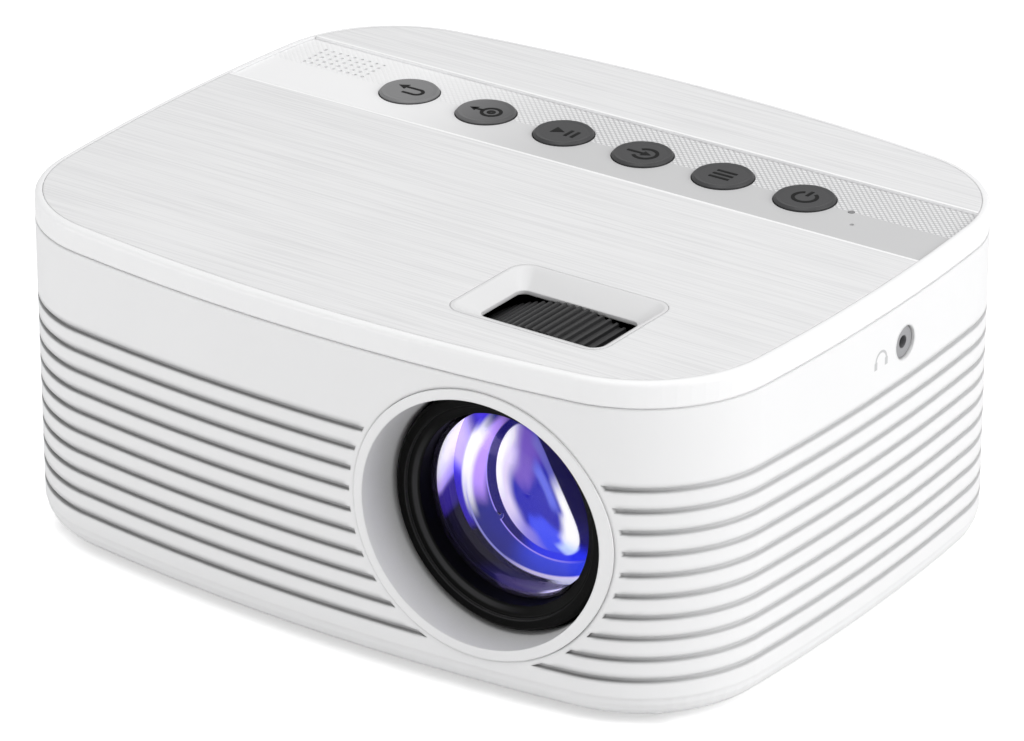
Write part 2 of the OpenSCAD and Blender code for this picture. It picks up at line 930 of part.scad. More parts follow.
module front_lens() {
    bulge = 58;
    back = seat_y - 0.05;
    color("lavender")
        on_lens_axis()
            intersection() {
                translate([0, 0, back - 12])
                    cylinder(r = front_lens_r, h = 12);
                translate([0, 0, seat_y - 9.4 + bulge])
                    sphere(r = bulge);
            }
}

module middle_lens() {
    r = front_lens_r - 2.7;
    y1 = seat_y + 14.85;
    bulge = 40;
    color("lavender")
        on_lens_axis()
            intersection() {
                translate([0, 0, y1 - 12])
                    cylinder(r = r, h = 12);
                translate([0, 0, y1 - 10 + bulge])
                    sphere(r = bulge);
            }
}

module rear_lens() {
    y1 = cell_back_y - 1.45;
    bulge = 62;
    color("lavender")
        on_lens_axis()
            intersection() {
                translate([0, 0, y1 - 7])
                    cylinder(r = front_lens_r, h = 7);
                translate([0, 0, y1 - 7 + bulge])
                    sphere(r = bulge);
            }
}

// ---------------------------------------------------------------- cooling

fan_x = sink_x - sink_depth - 1 - fan_t;
fan_bore = fan_size / 2 - 1.6;
fan_hub_r = 11;

module fan_frame() {
    half = fan_size / 2;
    hole = half - 4;
    color("black")
        on_lamp_axis() {
            translate([0, 0, fan_x])
                linear_extrude(fan_t)
                    difference() {
                        rounded_rect(fan_size, fan_size, 3);
                        circle(r = fan_bore);
                        for (sx = [-1, 1], sy = [-1, 1])
                            translate([sx * hole, sy * hole])
                                circle(r = 1.7);
                    }
            // Motor cup on three arms, on the heat sink's side
            translate([0, 0, fan_x + fan_t - 2])
                cylinder(r = fan_hub_r, h = 2);
            for (a = [30, 150, 270])
                rotate(a)
                    translate([fan_hub_r - 1, -1.2, fan_x + fan_t - 2])
                        cube([fan_bore - fan_hub_r + 2, 2.4, 2]);
            // Shaft stub
            translate([0, 0, fan_x + 4])
                cylinder(r = 1.5, h = fan_t - 5);
        }
}

module fan_rotor() {
    blade_r = fan_bore - 0.8;
    depth = fan_t - 3.4;
    color("dimgray")
        on_lamp_axis()
            translate([0, 0, fan_x + 0.6])
                difference() {
                    union() {
                        cylinder(r = fan_hub_r, h = depth);
                        intersection() {
                            difference() {
                                cylinder(r = blade_r, h = depth);
                                translate([0, 0, -over])
                                    cylinder(r = fan_hub_r - 0.5, h = depth + 2 * over);
                            }
                            for (i = [0:blade_count - 1])
                                rotate(i * 360 / blade_count)
                                    translate([0, 0, depth / 2])
                                        rotate([52, 0, 0])
                                            translate([0, -fan_t, -0.6])
                                                cube([blade_r + over, 2 * fan_t, 1.2]);
                        }
                    }
                    translate([0, 0, -over])
                        cylinder(r = 1.55, h = depth + 2 * over);
                    translate([0, 0, depth - 7])
                        difference() {
                            cylinder(r = fan_hub_r - 1.2, h = 8);
                            translate([0, 0, -over])
                                cylinder(r = 3, h = 10);
                        }
                }
}

// ---------------------------------------------------------------- boards, sockets and sound

board_back = body_d / 2 - 10;
board_right = body_w / 2 - 24;
board_left = drive_x1 + 2;
main_board_posts = [
    [-40, board_back - 10.6], [24, board_back - 10.6], [board_right - 16, board_back - 14],
    [28, -6], [board_right - 6, -6],
];
// Each socket as [x, width, height]
socket_list = [[-34, 7, 6], [-12, 14, 7], [10, 14, 7], [38, 15, 6]];

module main_board() {
    color("seagreen")
        translate([0, 0, board_z]) {
            linear_extrude(board_t)
                difference() {
                    polygon([[-48, drive_w / 2 + 2], [board_left, drive_w / 2 + 2], [board_left, -12],
                        [board_right, -12], [board_right, board_back - 26],
                        [board_right - 12, board_back], [-48, board_back]]);
                    for (p = main_board_posts)
                        translate([p[0], p[1]])
                            circle(r = 1.6);
                }
            // Processor with its cooling plate, memory, coils and capacitors
            translate([40, 16, board_t])
                cube([20, 20, 2]);
            for (i = [0:1])
                translate([66 + i * 12, 20, board_t])
                    cube([9, 12, 1.2]);
            for (i = [0:3])
                post(30 + i * 12, 48, 3.2, board_t, board_t + 7);
            for (i = [0:2])
                translate([66, 40 + i * 9, board_t])
                    cube([7, 7, 3.5]);
        }
}

module rear_sockets() {
    depth = 13;
    skin = 0.5;
    color("silver")
        for (s = socket_list)
            translate([s[0], back_y(s[0]) - 0.9, socket_z])
                if (s[1] < 10)
                    // Round jack in a square body
                    translate([-s[1] / 2, -depth, 0])
                        difference() {
                            cube([s[1], depth, s[2]]);
                            translate([s[1] / 2, -over, s[2] / 2])
                                rotate([-90, 0, 0])
                                    translate([0, 0, over + 1.5])
                                        cylinder(r = 1.8, h = depth);
                        }
                else
                    // Metal shell with a contact tongue
                    translate([-s[1] / 2, -depth, 0]) {
                        difference() {
                            cube([s[1], depth, s[2]]);
                            translate([skin, 1.5, skin])
                                cube([s[1] - 2 * skin, depth, s[2] - 2 * skin]);
                        }
                        translate([2, 1, s[2] / 2 - 0.9])
                            cube([s[1] - 4, depth - 3.5, 1.8]);
                    }
}

module power_inlet() {
    drive_gap = 4.9;
    y1 = back_y(inlet_x) - 0.9;
    depth = y1 - drive_w / 2 - drive_gap;
    z0 = floor_z + 4.5;
    color("black") {
        difference() {
            translate([inlet_x - inlet_w / 2, y1 - depth, z0])
                cube([inlet_w, depth, inlet_h]);
            // Two-lobed cavity
            translate([inlet_x, y1 + over, z0 + inlet_h / 2])
                rotate([90, 0, 0])
                    linear_extrude(depth - 4) {
                        for (s = [-1, 1])
                            translate([s * 4.4, 0])
                                circle(r = 3.9);
                        square([8.8, 5.4], center = true);
                    }
        }
        // Contact pins
        for (s = [-1, 1])
            translate([inlet_x + s * 4.4, y1 - 3, z0 + inlet_h / 2])
                rotate([90, 0, 0])
                    cylinder(r = 1.2, h = depth - 5);
        // Foot on the case floor
        translate([inlet_x - 6, y1 - depth + 2, floor_z])
            cube([12, depth / 2, 4.6]);
    }
}

module power_board() {
    x0 = 28 - body_w / 2;
    y0 = 16 - body_d / 2;
    depth = body_d / 2 - 46;
    z0 = engine_z + 4;
    color("seagreen") {
        difference() {
            translate([x0, y0, z0])
                cube([96, depth, board_t]);
            for (sx = [0, 1], sy = [0, 1])
                post(x0 + 5 + sx * 86, y0 + 5 + sy * (depth - 10), 1.6, z0 - over, z0 + board_t + over);
        }
        for (sx = [0, 1], sy = [0, 1])
            post(x0 + 5 + sx * 86, y0 + 5 + sy * (depth - 10), 3, engine_z, z0);
    }
    // Transformer, bulk capacitors and a choke
    color("gold")
        translate([x0 + 36, y0 + 12, z0 + board_t])
            cube([24, 24, 20]);
    color("black") {
        post(x0 + 22, y0 + 24, 8, z0 + board_t, z0 + board_t + 25);
        for (i = [0:2])
            post(x0 + 70 + i * 8, y0 + 12, 3.5, z0 + board_t, z0 + board_t + 14);
        translate([x0 + 68, y0 + 26, z0 + board_t])
            cube([16, 12, 12]);
    }
}

audio_board_z = jack_z - 4 - 2.4;

module audio_jack() {
    x1 = body_w / 2 - 1;
    color("dimgray")
        difference() {
            union() {
                translate([x1 - 4, jack_y, jack_z])
                    rotate([0, 90, 0])
                        cylinder(r = jack_hole_r - 0.35, h = 4);
                translate([x1 - 16, jack_y - 4, jack_z - 4])
                    cube([12.5, 8, 8]);
            }
            translate([x1 - 15, jack_y, jack_z])
                rotate([0, 90, 0])
                    cylinder(r = 1.8, h = 20);
        }
}

module audio_board() {
    color("seagreen") {
        translate([body_w / 2 - 21, jack_y - 8, audio_board_z])
            cube([17, 16, 1.6]);
        translate([body_w / 2 - 17, jack_y - 3, audio_board_z + 1.5])
            cube([10, 6, 0.9]);
    }
}

speaker_x = -body_w / 2 + 24;
speaker_y = key_y + 8;
speaker_r = 14;

module speaker() {
    color("dimgray")
        translate([speaker_x, speaker_y, 0])
            difference() {
                union() {
                    translate([0, 0, deck_z - 2])
                        cylinder(r = speaker_r, h = 1.95);
                    translate([0, 0, deck_z - 6])
                        cylinder(r1 = 9, r2 = speaker_r - 1.5, h = 4.1);
                    translate([0, 0, deck_z - 10])
                        cylinder(r = 9, h = 4.1);
                }
                translate([0, 0, deck_z - 4.5])
                    cylinder(r1 = 4, r2 = speaker_r - 2.5, h = 4.6);
            }
}

module chassis_plate() {
    x0 = -body_w / 2 + 9;
    x1 = body_w / 2 - 8;
    cut_x = lens_x - ring_r - 1.5;
    color("lightgray")
        translate([0, 0, chassis_z])
            linear_extrude(chassis_t)
                difference() {
                    polygon([[x0, -60], [x0 + 10, -body_d / 2 + 16], [x0 + 49, -body_d / 2 + 9],
                        [cut_x, -body_d / 2 + 9], [cut_x, front_wall_y + 0.5],
                        [x1, front_wall_y + 0.5], [x1, body_d / 2 - 44], [x1 - 32, body_d / 2 - 9],
                        [x0 + 31, body_d / 2 - 9], [x0, body_d / 2 - 44]]);
                    // Openings that let air and cables through
                    for (x = [-70, -30])
                        translate([x, 0])
                            rounded_rect(24, 14, 3);
                    translate([30, 58])
                        rounded_rect(26, 16, 3);
                    // Clearance round the bosses and the headphone post
                    four_ways()
                        translate([boss_x, boss_y])
                            circle(r = boss_r + run);
                    translate([body_w / 2 - 9, jack_y])
                        circle(r = 2.4 + run);
                }
}

// ---------------------------------------------------------------- disc drive

drive_skin = 0.8;
hub_x = drive_x0 + disc_d / 2 - 5;
rail_t = 1.4;
rail_half = drive_w / 2 - drive_skin - 0.2;
tray_half = rail_half - rail_t - 0.2;
tray_z0 = drive_z0 + 1.6;
tray_top = tray_mid_z + 1.1;
tray_floor = tray_top - 1.3;
tray_back = drive_x1 - 1.4;
tongue_z = tray_mid_z - 1.6;
tongue_t = 1.4;
tongue_out = 0.9;
sled_z0 = tray_z0 + 0.4;
sled_x = hub_x + 24;
sled_front = 12.2;
sled_back = 5;
rod_z = sled_z0 + 2;
rod_half = 17;
rod_r = 1.2;
screw_y = 24;
lead_r = 1.1;
bay_x0 = hub_x + 9.4;
bay_x1 = tray_back - 1.2;
bay_half = 29;

module drive_case() {
    color("silver")
        difference() {
            translate([drive_x0, -drive_w / 2, drive_z0])
                cube([drive_l, drive_w, drive_h]);
            translate([drive_x0 - over, -drive_w / 2 + drive_skin, drive_z0 + drive_skin])
                cube([drive_l + over - drive_skin, drive_w - 2 * drive_skin, drive_h - 2 * drive_skin]);
            // Clearance round the spindle in the top sheet
            post(hub_x, 0, 9, drive_z0 + drive_h - 2, drive_z0 + drive_h + over);
        }
}

module disc_tray() {
    pocket_r = disc_d / 2 + 0.6;
    side_t = 1.6;
    color("dimgray")
        difference() {
            union() {
                intersection() {
                    difference() {
                        translate([-body_w / 2, -tray_half, tray_z0])
                            cube([tray_back + body_w / 2, 2 * tray_half, tray_top - tray_z0]);
                        // Hollow underside
                        translate([drive_x0 + 2, -tray_half + side_t, tray_z0 - over])
                            cube([tray_back - drive_x0 - 2 - side_t, 2 * (tray_half - side_t),
                                tray_floor - 1.5 - tray_z0 + over]);
                    }
                    slab(wall + 0.02, tray_z0 - over, tray_top + over);
                }
                // Tongues that run in the rails
                for (s = [-1, 1])
                    translate([drive_x0 + 2, s * (tray_half + tongue_out / 2 - 0.2), tongue_z])
                        translate([0, -tongue_out / 2 - 0.2, 0])
                            cube([tray_back - drive_x0 - 4, tongue_out + 0.4, tongue_t]);
                // Seat of the spindle motor, and ledges of the sled rods
                post(hub_x, 0, 13, tray_z0 + 0.3, tray_floor - 1);
                for (s = [-1, 1], x = [bay_x0 - 1.5, bay_x1 - 1])
                    translate([x, s * rod_half - 3, tray_z0])
                        cube([2.2, 6, tray_floor - 1 - tray_z0]);
                // Far bearing of the lead screw
                translate([bay_x1 - 1, screw_y - 2.5, tray_z0])
                    cube([2.2, 5, tray_floor - 1 - tray_z0]);
            }
            // Pocket for the disc
            post(hub_x, 0, pocket_r, tray_floor, tray_top + over);
            // Bay of the pickup and hole of the spindle
            translate([bay_x0, -bay_half, tray_z0 - over])
                cube([bay_x1 - bay_x0, 2 * bay_half, tray_top - tray_z0 + 2 * over]);
            post(hub_x, 0, 10.4, tray_z0 - over, tray_top + over);
            // Pocket behind the eject button
            translate([-body_w / 2, eject_y - eject_w / 2 - 0.4, tray_mid_z - eject_h / 2 - 0.4])
                cube([eject_l + eject_travel + 0.4, eject_w + 0.8, eject_h + 0.8]);
            // Finger notch in the front edge
            translate([drive_x0 - 4, 0, tray_floor])
                cylinder(r = 12, h = 4);
            for (s = [-1, 1])
                translate([bay_x0 - 4, s * rod_half, rod_z])
                    rotate([0, 90, 0])
                        cylinder(r = rod_r + 0.02, h = bay_x1 - bay_x0 + 5);
            translate([bay_x1 - 2, screw_y, rod_z])
                rotate([0, 90, 0])
                    cylinder(r = lead_r + 0.04, h = 2.8);
        }
}

module tray_bezel() {
    half_w = bezel_half_w - bezel_gap;
    half_h = bezel_half_h - bezel_gap;
    color("whitesmoke")
        difference() {
            intersection() {
                ring_slab(0, wall, tray_mid_z - half_h, tray_mid_z + half_h);
                translate([-body_w / 2 - over, -half_w, tray_mid_z - half_h - over])
                    cube([20, 2 * half_w, 2 * (half_h + over)]);
            }
            for (i = [0:1])
                bezel_groove(i);
            // Hole of the eject button, and the pin-hole for emergency opening
            translate([-body_w / 2 - over, eject_y - eject_w / 2 - 0.3, tray_mid_z - eject_h / 2 - 0.3])
                cube([12, eject_w + 0.6, eject_h + 0.6]);
            translate([-body_w / 2 - over, eject_y - 16, tray_mid_z])
                rotate([0, 90, 0])
                    cylinder(r = 0.6, h = 12);
        }
}

module bezel_groove(i) {
    z = groove_z0 + i * groove_pitch;
    ring_slab(-over, groove_depth, z - groove_w / 2, z + groove_w / 2);
}

eject_y = -40;
eject_w = 12;
eject_h = 3.2;
eject_l = 6;
eject_travel = 0.8;

module eject_button() {
    color("lightgray")
        intersection() {
            translate([-body_w / 2, eject_y - eject_w / 2, tray_mid_z - eject_h / 2])
                cube([eject_l, eject_w, eject_h]);
            slab(-0.3, tray_mid_z - 3, tray_mid_z + 3);
        }
}

module tray_rails() {
    rail_h = 5;
    color("silver")
        for (s = [-1, 1])
            mirror([0, s < 0 ? 1 : 0, 0])
                difference() {
                    translate([drive_x0 + 2, rail_half - rail_t, tray_mid_z - 3.4])
                        cube([drive_l - 6, rail_t, rail_h]);
                    translate([drive_x0, rail_half - rail_t - over, tongue_z - 0.2])
                        cube([drive_l, tongue_out + over - 0.1, tongue_t + 0.4]);
                }
}

motor_z1 = tray_floor - 2.2;

module spindle_motor() {
    color("silver")
        difference() {
            union() {
                post(hub_x, 0, 10.2, tray_z0 + 0.3, motor_z1);
                translate([hub_x - 10, -13, tray_z0 - 0.5])
                    cube([18, 26, 0.8]);
            }
            post(hub_x, 0, 1.55, tray_z0 + 0.6, motor_z1 + over);
        }
}

module disc_hub() {
    table_z = tray_floor + 0.3;
    color("dimgray")
        translate([hub_x, 0, 0])
            difference() {
                union() {
                    rotate_extrude()
                        polygon([[0, tray_z0 + 0.9], [1.5, tray_z0 + 0.9], [1.5, motor_z1 + 0.2],
                            [10, motor_z1 + 0.2], [10, table_z], [7.35, table_z],
                            [7.35, table_z + 1.6], [6.4, table_z + 2.4], [0, table_z + 2.4]]);
                    // Spring catches that hold the disc
                    for (a = [0:120:240])
                        rotate(a)
                            translate([6.6, 0, table_z + 1.35])
                                sphere(r = 1);
                }
                // Gaps beside the catches
                for (a = [0:120:240], s = [-1, 1])
                    rotate(a)
                        translate([3.6, s * 1.7 - 0.25, table_z + 0.3])
                            cube([5, 0.5, 3]);
            }
}

module sled_rods() {
    color("silver")
        for (s = [-1, 1])
            translate([bay_x0 - 1.4, s * rod_half, rod_z])
                rotate([0, 90, 0])
                    cylinder(r = rod_r, h = bay_x1 - bay_x0 + 2.2);
}

module pickup_sled() {
    sled_l = sled_front + sled_back;
    color("darkgray")
        difference() {
            union() {
                translate([sled_x - sled_front, -rod_half - 3, sled_z0])
                    cube([sled_l, 2 * rod_half + 6, 3.6]);
                // Nut that follows the lead screw
                translate([sled_x - 3, rod_half + 2, sled_z0])
                    cube([6, screw_y - rod_half + 0.6, 3.6]);
            }
            for (s = [-1, 1])
                translate([sled_x - sled_front - over, s * rod_half, rod_z])
                    rotate([0, 90, 0])
                        cylinder(r = rod_r + 0.05, h = sled_l + 2 * over);
            translate([sled_x - 4, screw_y, rod_z])
                rotate([0, 90, 0])
                    cylinder(r = lead_r + 0.06, h = 8);
            // Well of the lens, and slots that lighten the casting
            post(sled_x, 0, 3.1, sled_z0 + 1.2, sled_z0 + 5);
            for (s = [-1, 1])
                translate([sled_x - sled_front + 2, s * 7 - 4, sled_z0 + 2.8])
                    cube([5, 8, 2]);
        }
}

module pickup_lens() {
    color("lightcyan")
        translate([sled_x, 0, 0])
            union() {
                post(0, 0, 3, sled_z0 + 1.25, sled_z0 + 3.4);
                intersection() {
                    post(0, 0, 2.2, sled_z0 + 3.3, sled_z0 + 5);
                    translate([0, 0, sled_z0 + 0.4])
                        sphere(r = 3.7);
                }
            }
}

module lead_screw() {
    lead_l = bay_x1 - bay_x0 - 3.4;
    turns = 12;
    color("silver")
        translate([bay_x0 + 4, screw_y, rod_z])
            rotate([0, 90, 0])
                rotate_extrude()
                    polygon(concat(
                        [[0, 0], [lead_r, 0]],
                        [for (i = [0:turns - 1], k = [0:2])
                            [lead_r - (k == 1 ? 0.25 : 0), 1 + (i + k * 0.25) * (lead_l - 2) / turns]],
                        [[lead_r, lead_l], [0, lead_l]]
                    ));
}

module sled_motor() {
    motor_l = 8;
    color("silver")
        difference() {
            union() {
                translate([bay_x0 + 0.6, screw_y, rod_z])
                    rotate([0, 90, 0])
                        cylinder(r = 2.4, h = motor_l);
                translate([bay_x0, screw_y - 2.5, rod_z - 2.3])
                    cube([1.2, 5, 4.6]);
            }
            translate([bay_x0 + 3, screw_y, rod_z])
                rotate([0, 90, 0])
                    cylinder(r = lead_r + 0.06, h = motor_l);
        }
}

// ---------------------------------------------------------------- the assembly

lower_case();
lid();
front_top_plate();
rear_top_plate();
control_strip();
focus_window_trim();
lens_collar();
rubber_feet();
case_screws();
tripod_insert();
key_1();
key_2();
key_3();
key_4();
key_5();
key_6();
key_board();
status_light();
chassis_plate();
light_box();
light_box_cover();
led_module();
heat_sink();
condenser_lens();
heat_glass();
collimating_lens();
picture_panel();
field_lens();
fold_mirror();
lens_barrel();
focus_ring();
ring_retainer();
lens_cell();
lens_spacer();
front_lens();
middle_lens();
rear_lens();
fan_frame();
fan_rotor();
main_board();
rear_sockets();
power_inlet();
power_board();
audio_jack();
audio_board();
speaker();
drive_case();
disc_tray();
tray_bezel();
tray_rails();
eject_button();
spindle_motor();
disc_hub();
sled_rods();
pickup_sled();
pickup_lens();
lead_screw();
sled_motor();
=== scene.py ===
"""Looks of a compact home projector with a disc tray in its left side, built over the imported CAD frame.

Sizes are in metres and angles in radians, unless a docstring gives another unit. Colours are linear.
"""

import json
import logging
import math
from collections.abc import Callable
from dataclasses import dataclass, field
from enum import Enum
from functools import reduce

import bpy
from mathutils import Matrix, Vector


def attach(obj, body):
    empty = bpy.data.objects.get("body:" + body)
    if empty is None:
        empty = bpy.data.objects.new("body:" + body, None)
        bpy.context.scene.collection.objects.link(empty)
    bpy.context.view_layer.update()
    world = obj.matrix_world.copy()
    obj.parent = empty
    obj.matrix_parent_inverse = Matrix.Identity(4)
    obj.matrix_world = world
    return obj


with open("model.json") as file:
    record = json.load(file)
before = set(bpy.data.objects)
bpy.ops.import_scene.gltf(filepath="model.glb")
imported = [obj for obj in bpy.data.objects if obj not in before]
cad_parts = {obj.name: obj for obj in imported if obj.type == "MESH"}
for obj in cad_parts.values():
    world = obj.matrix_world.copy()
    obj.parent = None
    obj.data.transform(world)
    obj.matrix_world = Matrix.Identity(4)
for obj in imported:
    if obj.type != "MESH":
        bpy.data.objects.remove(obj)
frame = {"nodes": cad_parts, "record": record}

log = logging.getLogger("projector")

Socket = bpy.types.NodeSocket
Outputs = bpy.types.NodeOutputs
Tree = bpy.types.NodeTree
Piece = bpy.types.Object
Colour = tuple[float, float, float]
Point = tuple[float, float, float]
Pair = tuple[float, float]

MM = 0.001
BASE_BODY = "housing"
LENS_AXIS: Pair = (0.054, 0.051)  # where the lens axis runs, along X and up
FRONT_Y: Pair = (-0.070, -0.065)  # from the front wall's band to what lies behind it
SIDE_X: Pair = (0.085, 0.113)  # over the front right corner, on to the right wall
SHARP_OVER = 35.0  # edges over that many degrees stay sharp in a smooth piece

DRIFT_CELLS, RUB_CELLS, PATCH_CELLS = 28.0, 220.0, 60.0  # noise cells per metre
GAP_SPAN: Pair = (0.2, 0.95)  # occlusion at which the painted shade in narrow gaps starts, and where it is darkest
GAP_SHADE = 0.25  # what the darkest painted shade in narrow gaps leaves of the colour


def screen(red: int, green: int, blue: int) -> Colour:
    """Turns a screen colour, with parts from 0 to 255, into a linear one."""
    parts = (value / 255 for value in (red, green, blue))
    return tuple(part / 12.92 if part <= 0.04045 else ((part + 0.055) / 1.055) ** 2.4 for part in parts)


def plain(level: float) -> Colour:
    """A neutral grey."""
    return (level, level, level)


def grey(level: float, blue: float = 0.005) -> Colour:
    """A grey with a little more blue in it."""
    return (level, level, level + blue)


# ---------- node trees


class Graph:
    """A node tree with short calls that place nodes and join them."""

    def __init__(self, owner: bpy.types.Material | bpy.types.World | Tree) -> None:
        """Starts with a group's tree, or with the emptied tree of a material or a world.

        Args:
            owner: The tree, or what has it.
        """
        self.tree = owner
        if not isinstance(owner, Tree):
            owner.use_nodes = True
            self.tree = owner.node_tree
            self.tree.nodes.clear()

    def add(self, kind: str, inputs: dict[str | int, object] | None = None, **settings: object) -> bpy.types.Node:
        """Adds a node.

        Args:
            kind: Blender's name of the node type.
            inputs: What each input gets, by its name or number.
            settings: Properties to set on the node.

        Returns:
            The new node.
        """
        node = self.tree.nodes.new(kind)
        for name, value in settings.items():
            setattr(node, name, value)
        for key, value in (inputs or {}).items():
            self.feed(node.inputs[key], value)
        return node

    def feed(self, socket: Socket, value: object) -> None:
        """Joins an input to an output socket, or gives it a constant."""
        if isinstance(value, Socket):
            self.tree.links.new(value, socket)
        else:
            socket.default_value = value

    def math(self, operation: str, *values: object) -> Socket:
        """Result of a Math node over the values."""
        return self.add("ShaderNodeMath", dict(enumerate(values)), operation=operation).outputs[0]

    def less(self, value: object, amount: object) -> Socket:
        """A value less an amount."""
        return self.math("SUBTRACT", value, amount)

    def off(self, value: object, middle: float) -> Socket:
        """How far a value is from a middle, to either side."""
        return self.math("ABSOLUTE", self.less(value, middle))

    def times(self, *factors: object) -> Socket:
        """Product of two or more values."""
        return reduce(lambda product, factor: self.math("MULTIPLY", product, factor), factors)

    def span(self, value: object, low: float, high: float, to_low: float = 0.0, to_high: float = 1.0) -> Socket:
        """Maps a value smoothly from low ... high to to_low ... to_high, and clamps it."""
        ends = {"Value": value, "From Min": low, "From Max": high, "To Min": to_low, "To Max": to_high}
        return self.add("ShaderNodeMapRange", ends, interpolation_type="SMOOTHSTEP").outputs["Result"]

    def fall(self, value: object, full: float, none: float) -> Socket:
        """1 up to a full value, then smoothly down to 0."""
        return self.span(value, full, none, 1.0, 0.0)

    def mix(self, factor: object, first: object, second: object) -> Socket:
        """Mixes two colours.

        Args:
            factor: Share of the second colour.
            first: Colour at factor 0.
            second: Colour at factor 1.

        Returns:
            The mixed colour's socket.
        """
        node = self.add("ShaderNodeMix", {0: factor}, data_type="RGBA")
        for number, value in ((6, first), (7, second)):
            self.feed(node.inputs[number], (*value, 1.0) if isinstance(value, tuple) else value)
        return node.outputs[2]

    def scaled(self, scale: Point, turn: Point = (0, 0, 0), shift: Point = (0, 0, 0)) -> Socket:
        """Scales the Object coordinates, turns them and shifts them."""
        inputs = {"Vector": self.place, "Location": shift, "Rotation": turn, "Scale": scale}
        return self.add("ShaderNodeMapping", inputs).outputs["Vector"]

    def dot(self, first: Socket, second: object) -> Socket:
        """Dot product of two vectors."""
        return self.add("ShaderNodeVectorMath", {0: first, 1: second}, operation="DOT_PRODUCT").outputs["Value"]

    def length(self, vector: object) -> Socket:
        """Length of a vector."""
        return self.add("ShaderNodeVectorMath", {0: vector}, operation="LENGTH").outputs["Value"]

    @property
    def place(self) -> Socket:
        """Object coordinates."""
        return self.add("ShaderNodeTexCoord").outputs["Object"]

    def radius(self) -> Socket:
        """Distance from the lens axis."""
        return self.length(self.scaled((1, 0, 1), shift=(-LENS_AXIS[0], 0, -LENS_AXIS[1])))

    def axes(self) -> tuple[Socket, ...]:
        """The three parts of the Object coordinates."""
        return tuple(self.add("ShaderNodeSeparateXYZ", {0: self.place}).outputs)

    def noise(self, vector: object, scale: object, detail: float = 3.0, rough: float = 0.5) -> Socket:
        """Value of a noise, from its cells per metre, its octaves and the share of the finer ones."""
        inputs = {"Vector": vector, "Scale": scale, "Detail": detail, "Roughness": rough}
        return self.add("ShaderNodeTexNoise", inputs).outputs["Fac"]

    def bump(self, height: Socket, strength: float, depth: object, normal: Socket, invert: bool = False) -> Socket:
        """Adds relief to a normal, from a height of 0 to 1 that stands for a depth."""
        inputs = {"Strength": strength, "Distance": depth, "Height": height, "Normal": normal}
        return self.add("ShaderNodeBump", inputs, invert=invert).outputs["Normal"]


@dataclass(frozen=True)
class Effect:
    """A node group that several finishes share. It is made once, at its first use.

    Attributes:
        name: The group's name.
        inputs: Its inputs, of which Vector and Normal are vectors.
        outputs: Its outputs, of which Normal is a vector.
        draw: Draws the nodes between the group's inputs and outputs.
    """

    name: str
    inputs: tuple[str, ...]
    outputs: tuple[str, ...]
    draw: Callable[[Graph, Outputs], tuple[Socket, ...]]

    def tree(self) -> Tree:
        """Finds the group, or makes it.

        Returns:
            The node group.
        """
        found = bpy.data.node_groups.get(self.name)
        if found:
            return found
        tree = bpy.data.node_groups.new(self.name, "ShaderNodeTree")
        for side, labels in (("INPUT", self.inputs), ("OUTPUT", self.outputs)):
            for label in labels:
                kind = "NodeSocketVector" if label in ("Vector", "Normal") else "NodeSocketFloat"
                tree.interface.new_socket(label, in_out=side, socket_type=kind)
        graph = Graph(tree)
        made = self.draw(graph, graph.add("NodeGroupInput").outputs)
        graph.add("NodeGroupOutput", dict(zip(self.outputs, made)))
        return tree

    def use(self, graph: Graph, **inputs: object) -> Outputs:
        """Adds the group to a graph and returns its outputs."""
        return graph.add("ShaderNodeGroup", inputs, node_tree=self.tree()).outputs


def draw_drift(graph: Graph, given: Outputs) -> tuple[Socket, ...]:
    """Slow change of tone over a moulding: cloudy noise as a factor near 1."""
    cloud = graph.noise(given["Vector"], given["Scale"], 4.0)
    return (graph.math("MULTIPLY_ADD", graph.times(graph.less(cloud, 0.5), given["Amount"]), 2.0, 1.0),)


def draw_grain(graph: Graph, given: Outputs) -> tuple[Socket, ...]:
    """Fine moulded grain on top of another normal."""
    return (graph.bump(graph.noise(given["Vector"], given["Scale"], 2.0), 1.0, given["Depth"], given["Normal"]),)


def draw_edges(graph: Graph, given: Outputs) -> tuple[Socket, ...]:
    """Normal with rounded edges, and the mask of these edges for worn edges and painted edge highlights."""
    soft = graph.add("ShaderNodeBevel", {"Radius": given["Radius"]}, samples=6).outputs["Normal"]
    flat = graph.add("ShaderNodeNewGeometry").outputs["Normal"]
    return (soft, graph.span(graph.dot(soft, flat), 0.995, 0.8))


def draw_gap_shading(graph: Graph, given: Outputs) -> tuple[Socket, ...]:
    """Mask of narrow gaps, for the shade that is painted into them."""
    seen = graph.add("ShaderNodeAmbientOcclusion", {"Distance": given["Distance"]}, samples=8)
    return (graph.less(1.0, seen.outputs["AO"]),)


DRIFT = Effect("tone_drift", ("Vector", "Scale", "Amount"), ("Factor",), draw_drift)
GRAIN = Effect("moulded_grain", ("Vector", "Scale", "Depth", "Normal"), ("Normal",), draw_grain)
EDGES = Effect("soft_edges", ("Radius",), ("Normal", "Edge"), draw_edges)
GAP_SHADING = Effect("painted_gap_shading", ("Distance",), ("Gap",), draw_gap_shading)


# ---------- finishes


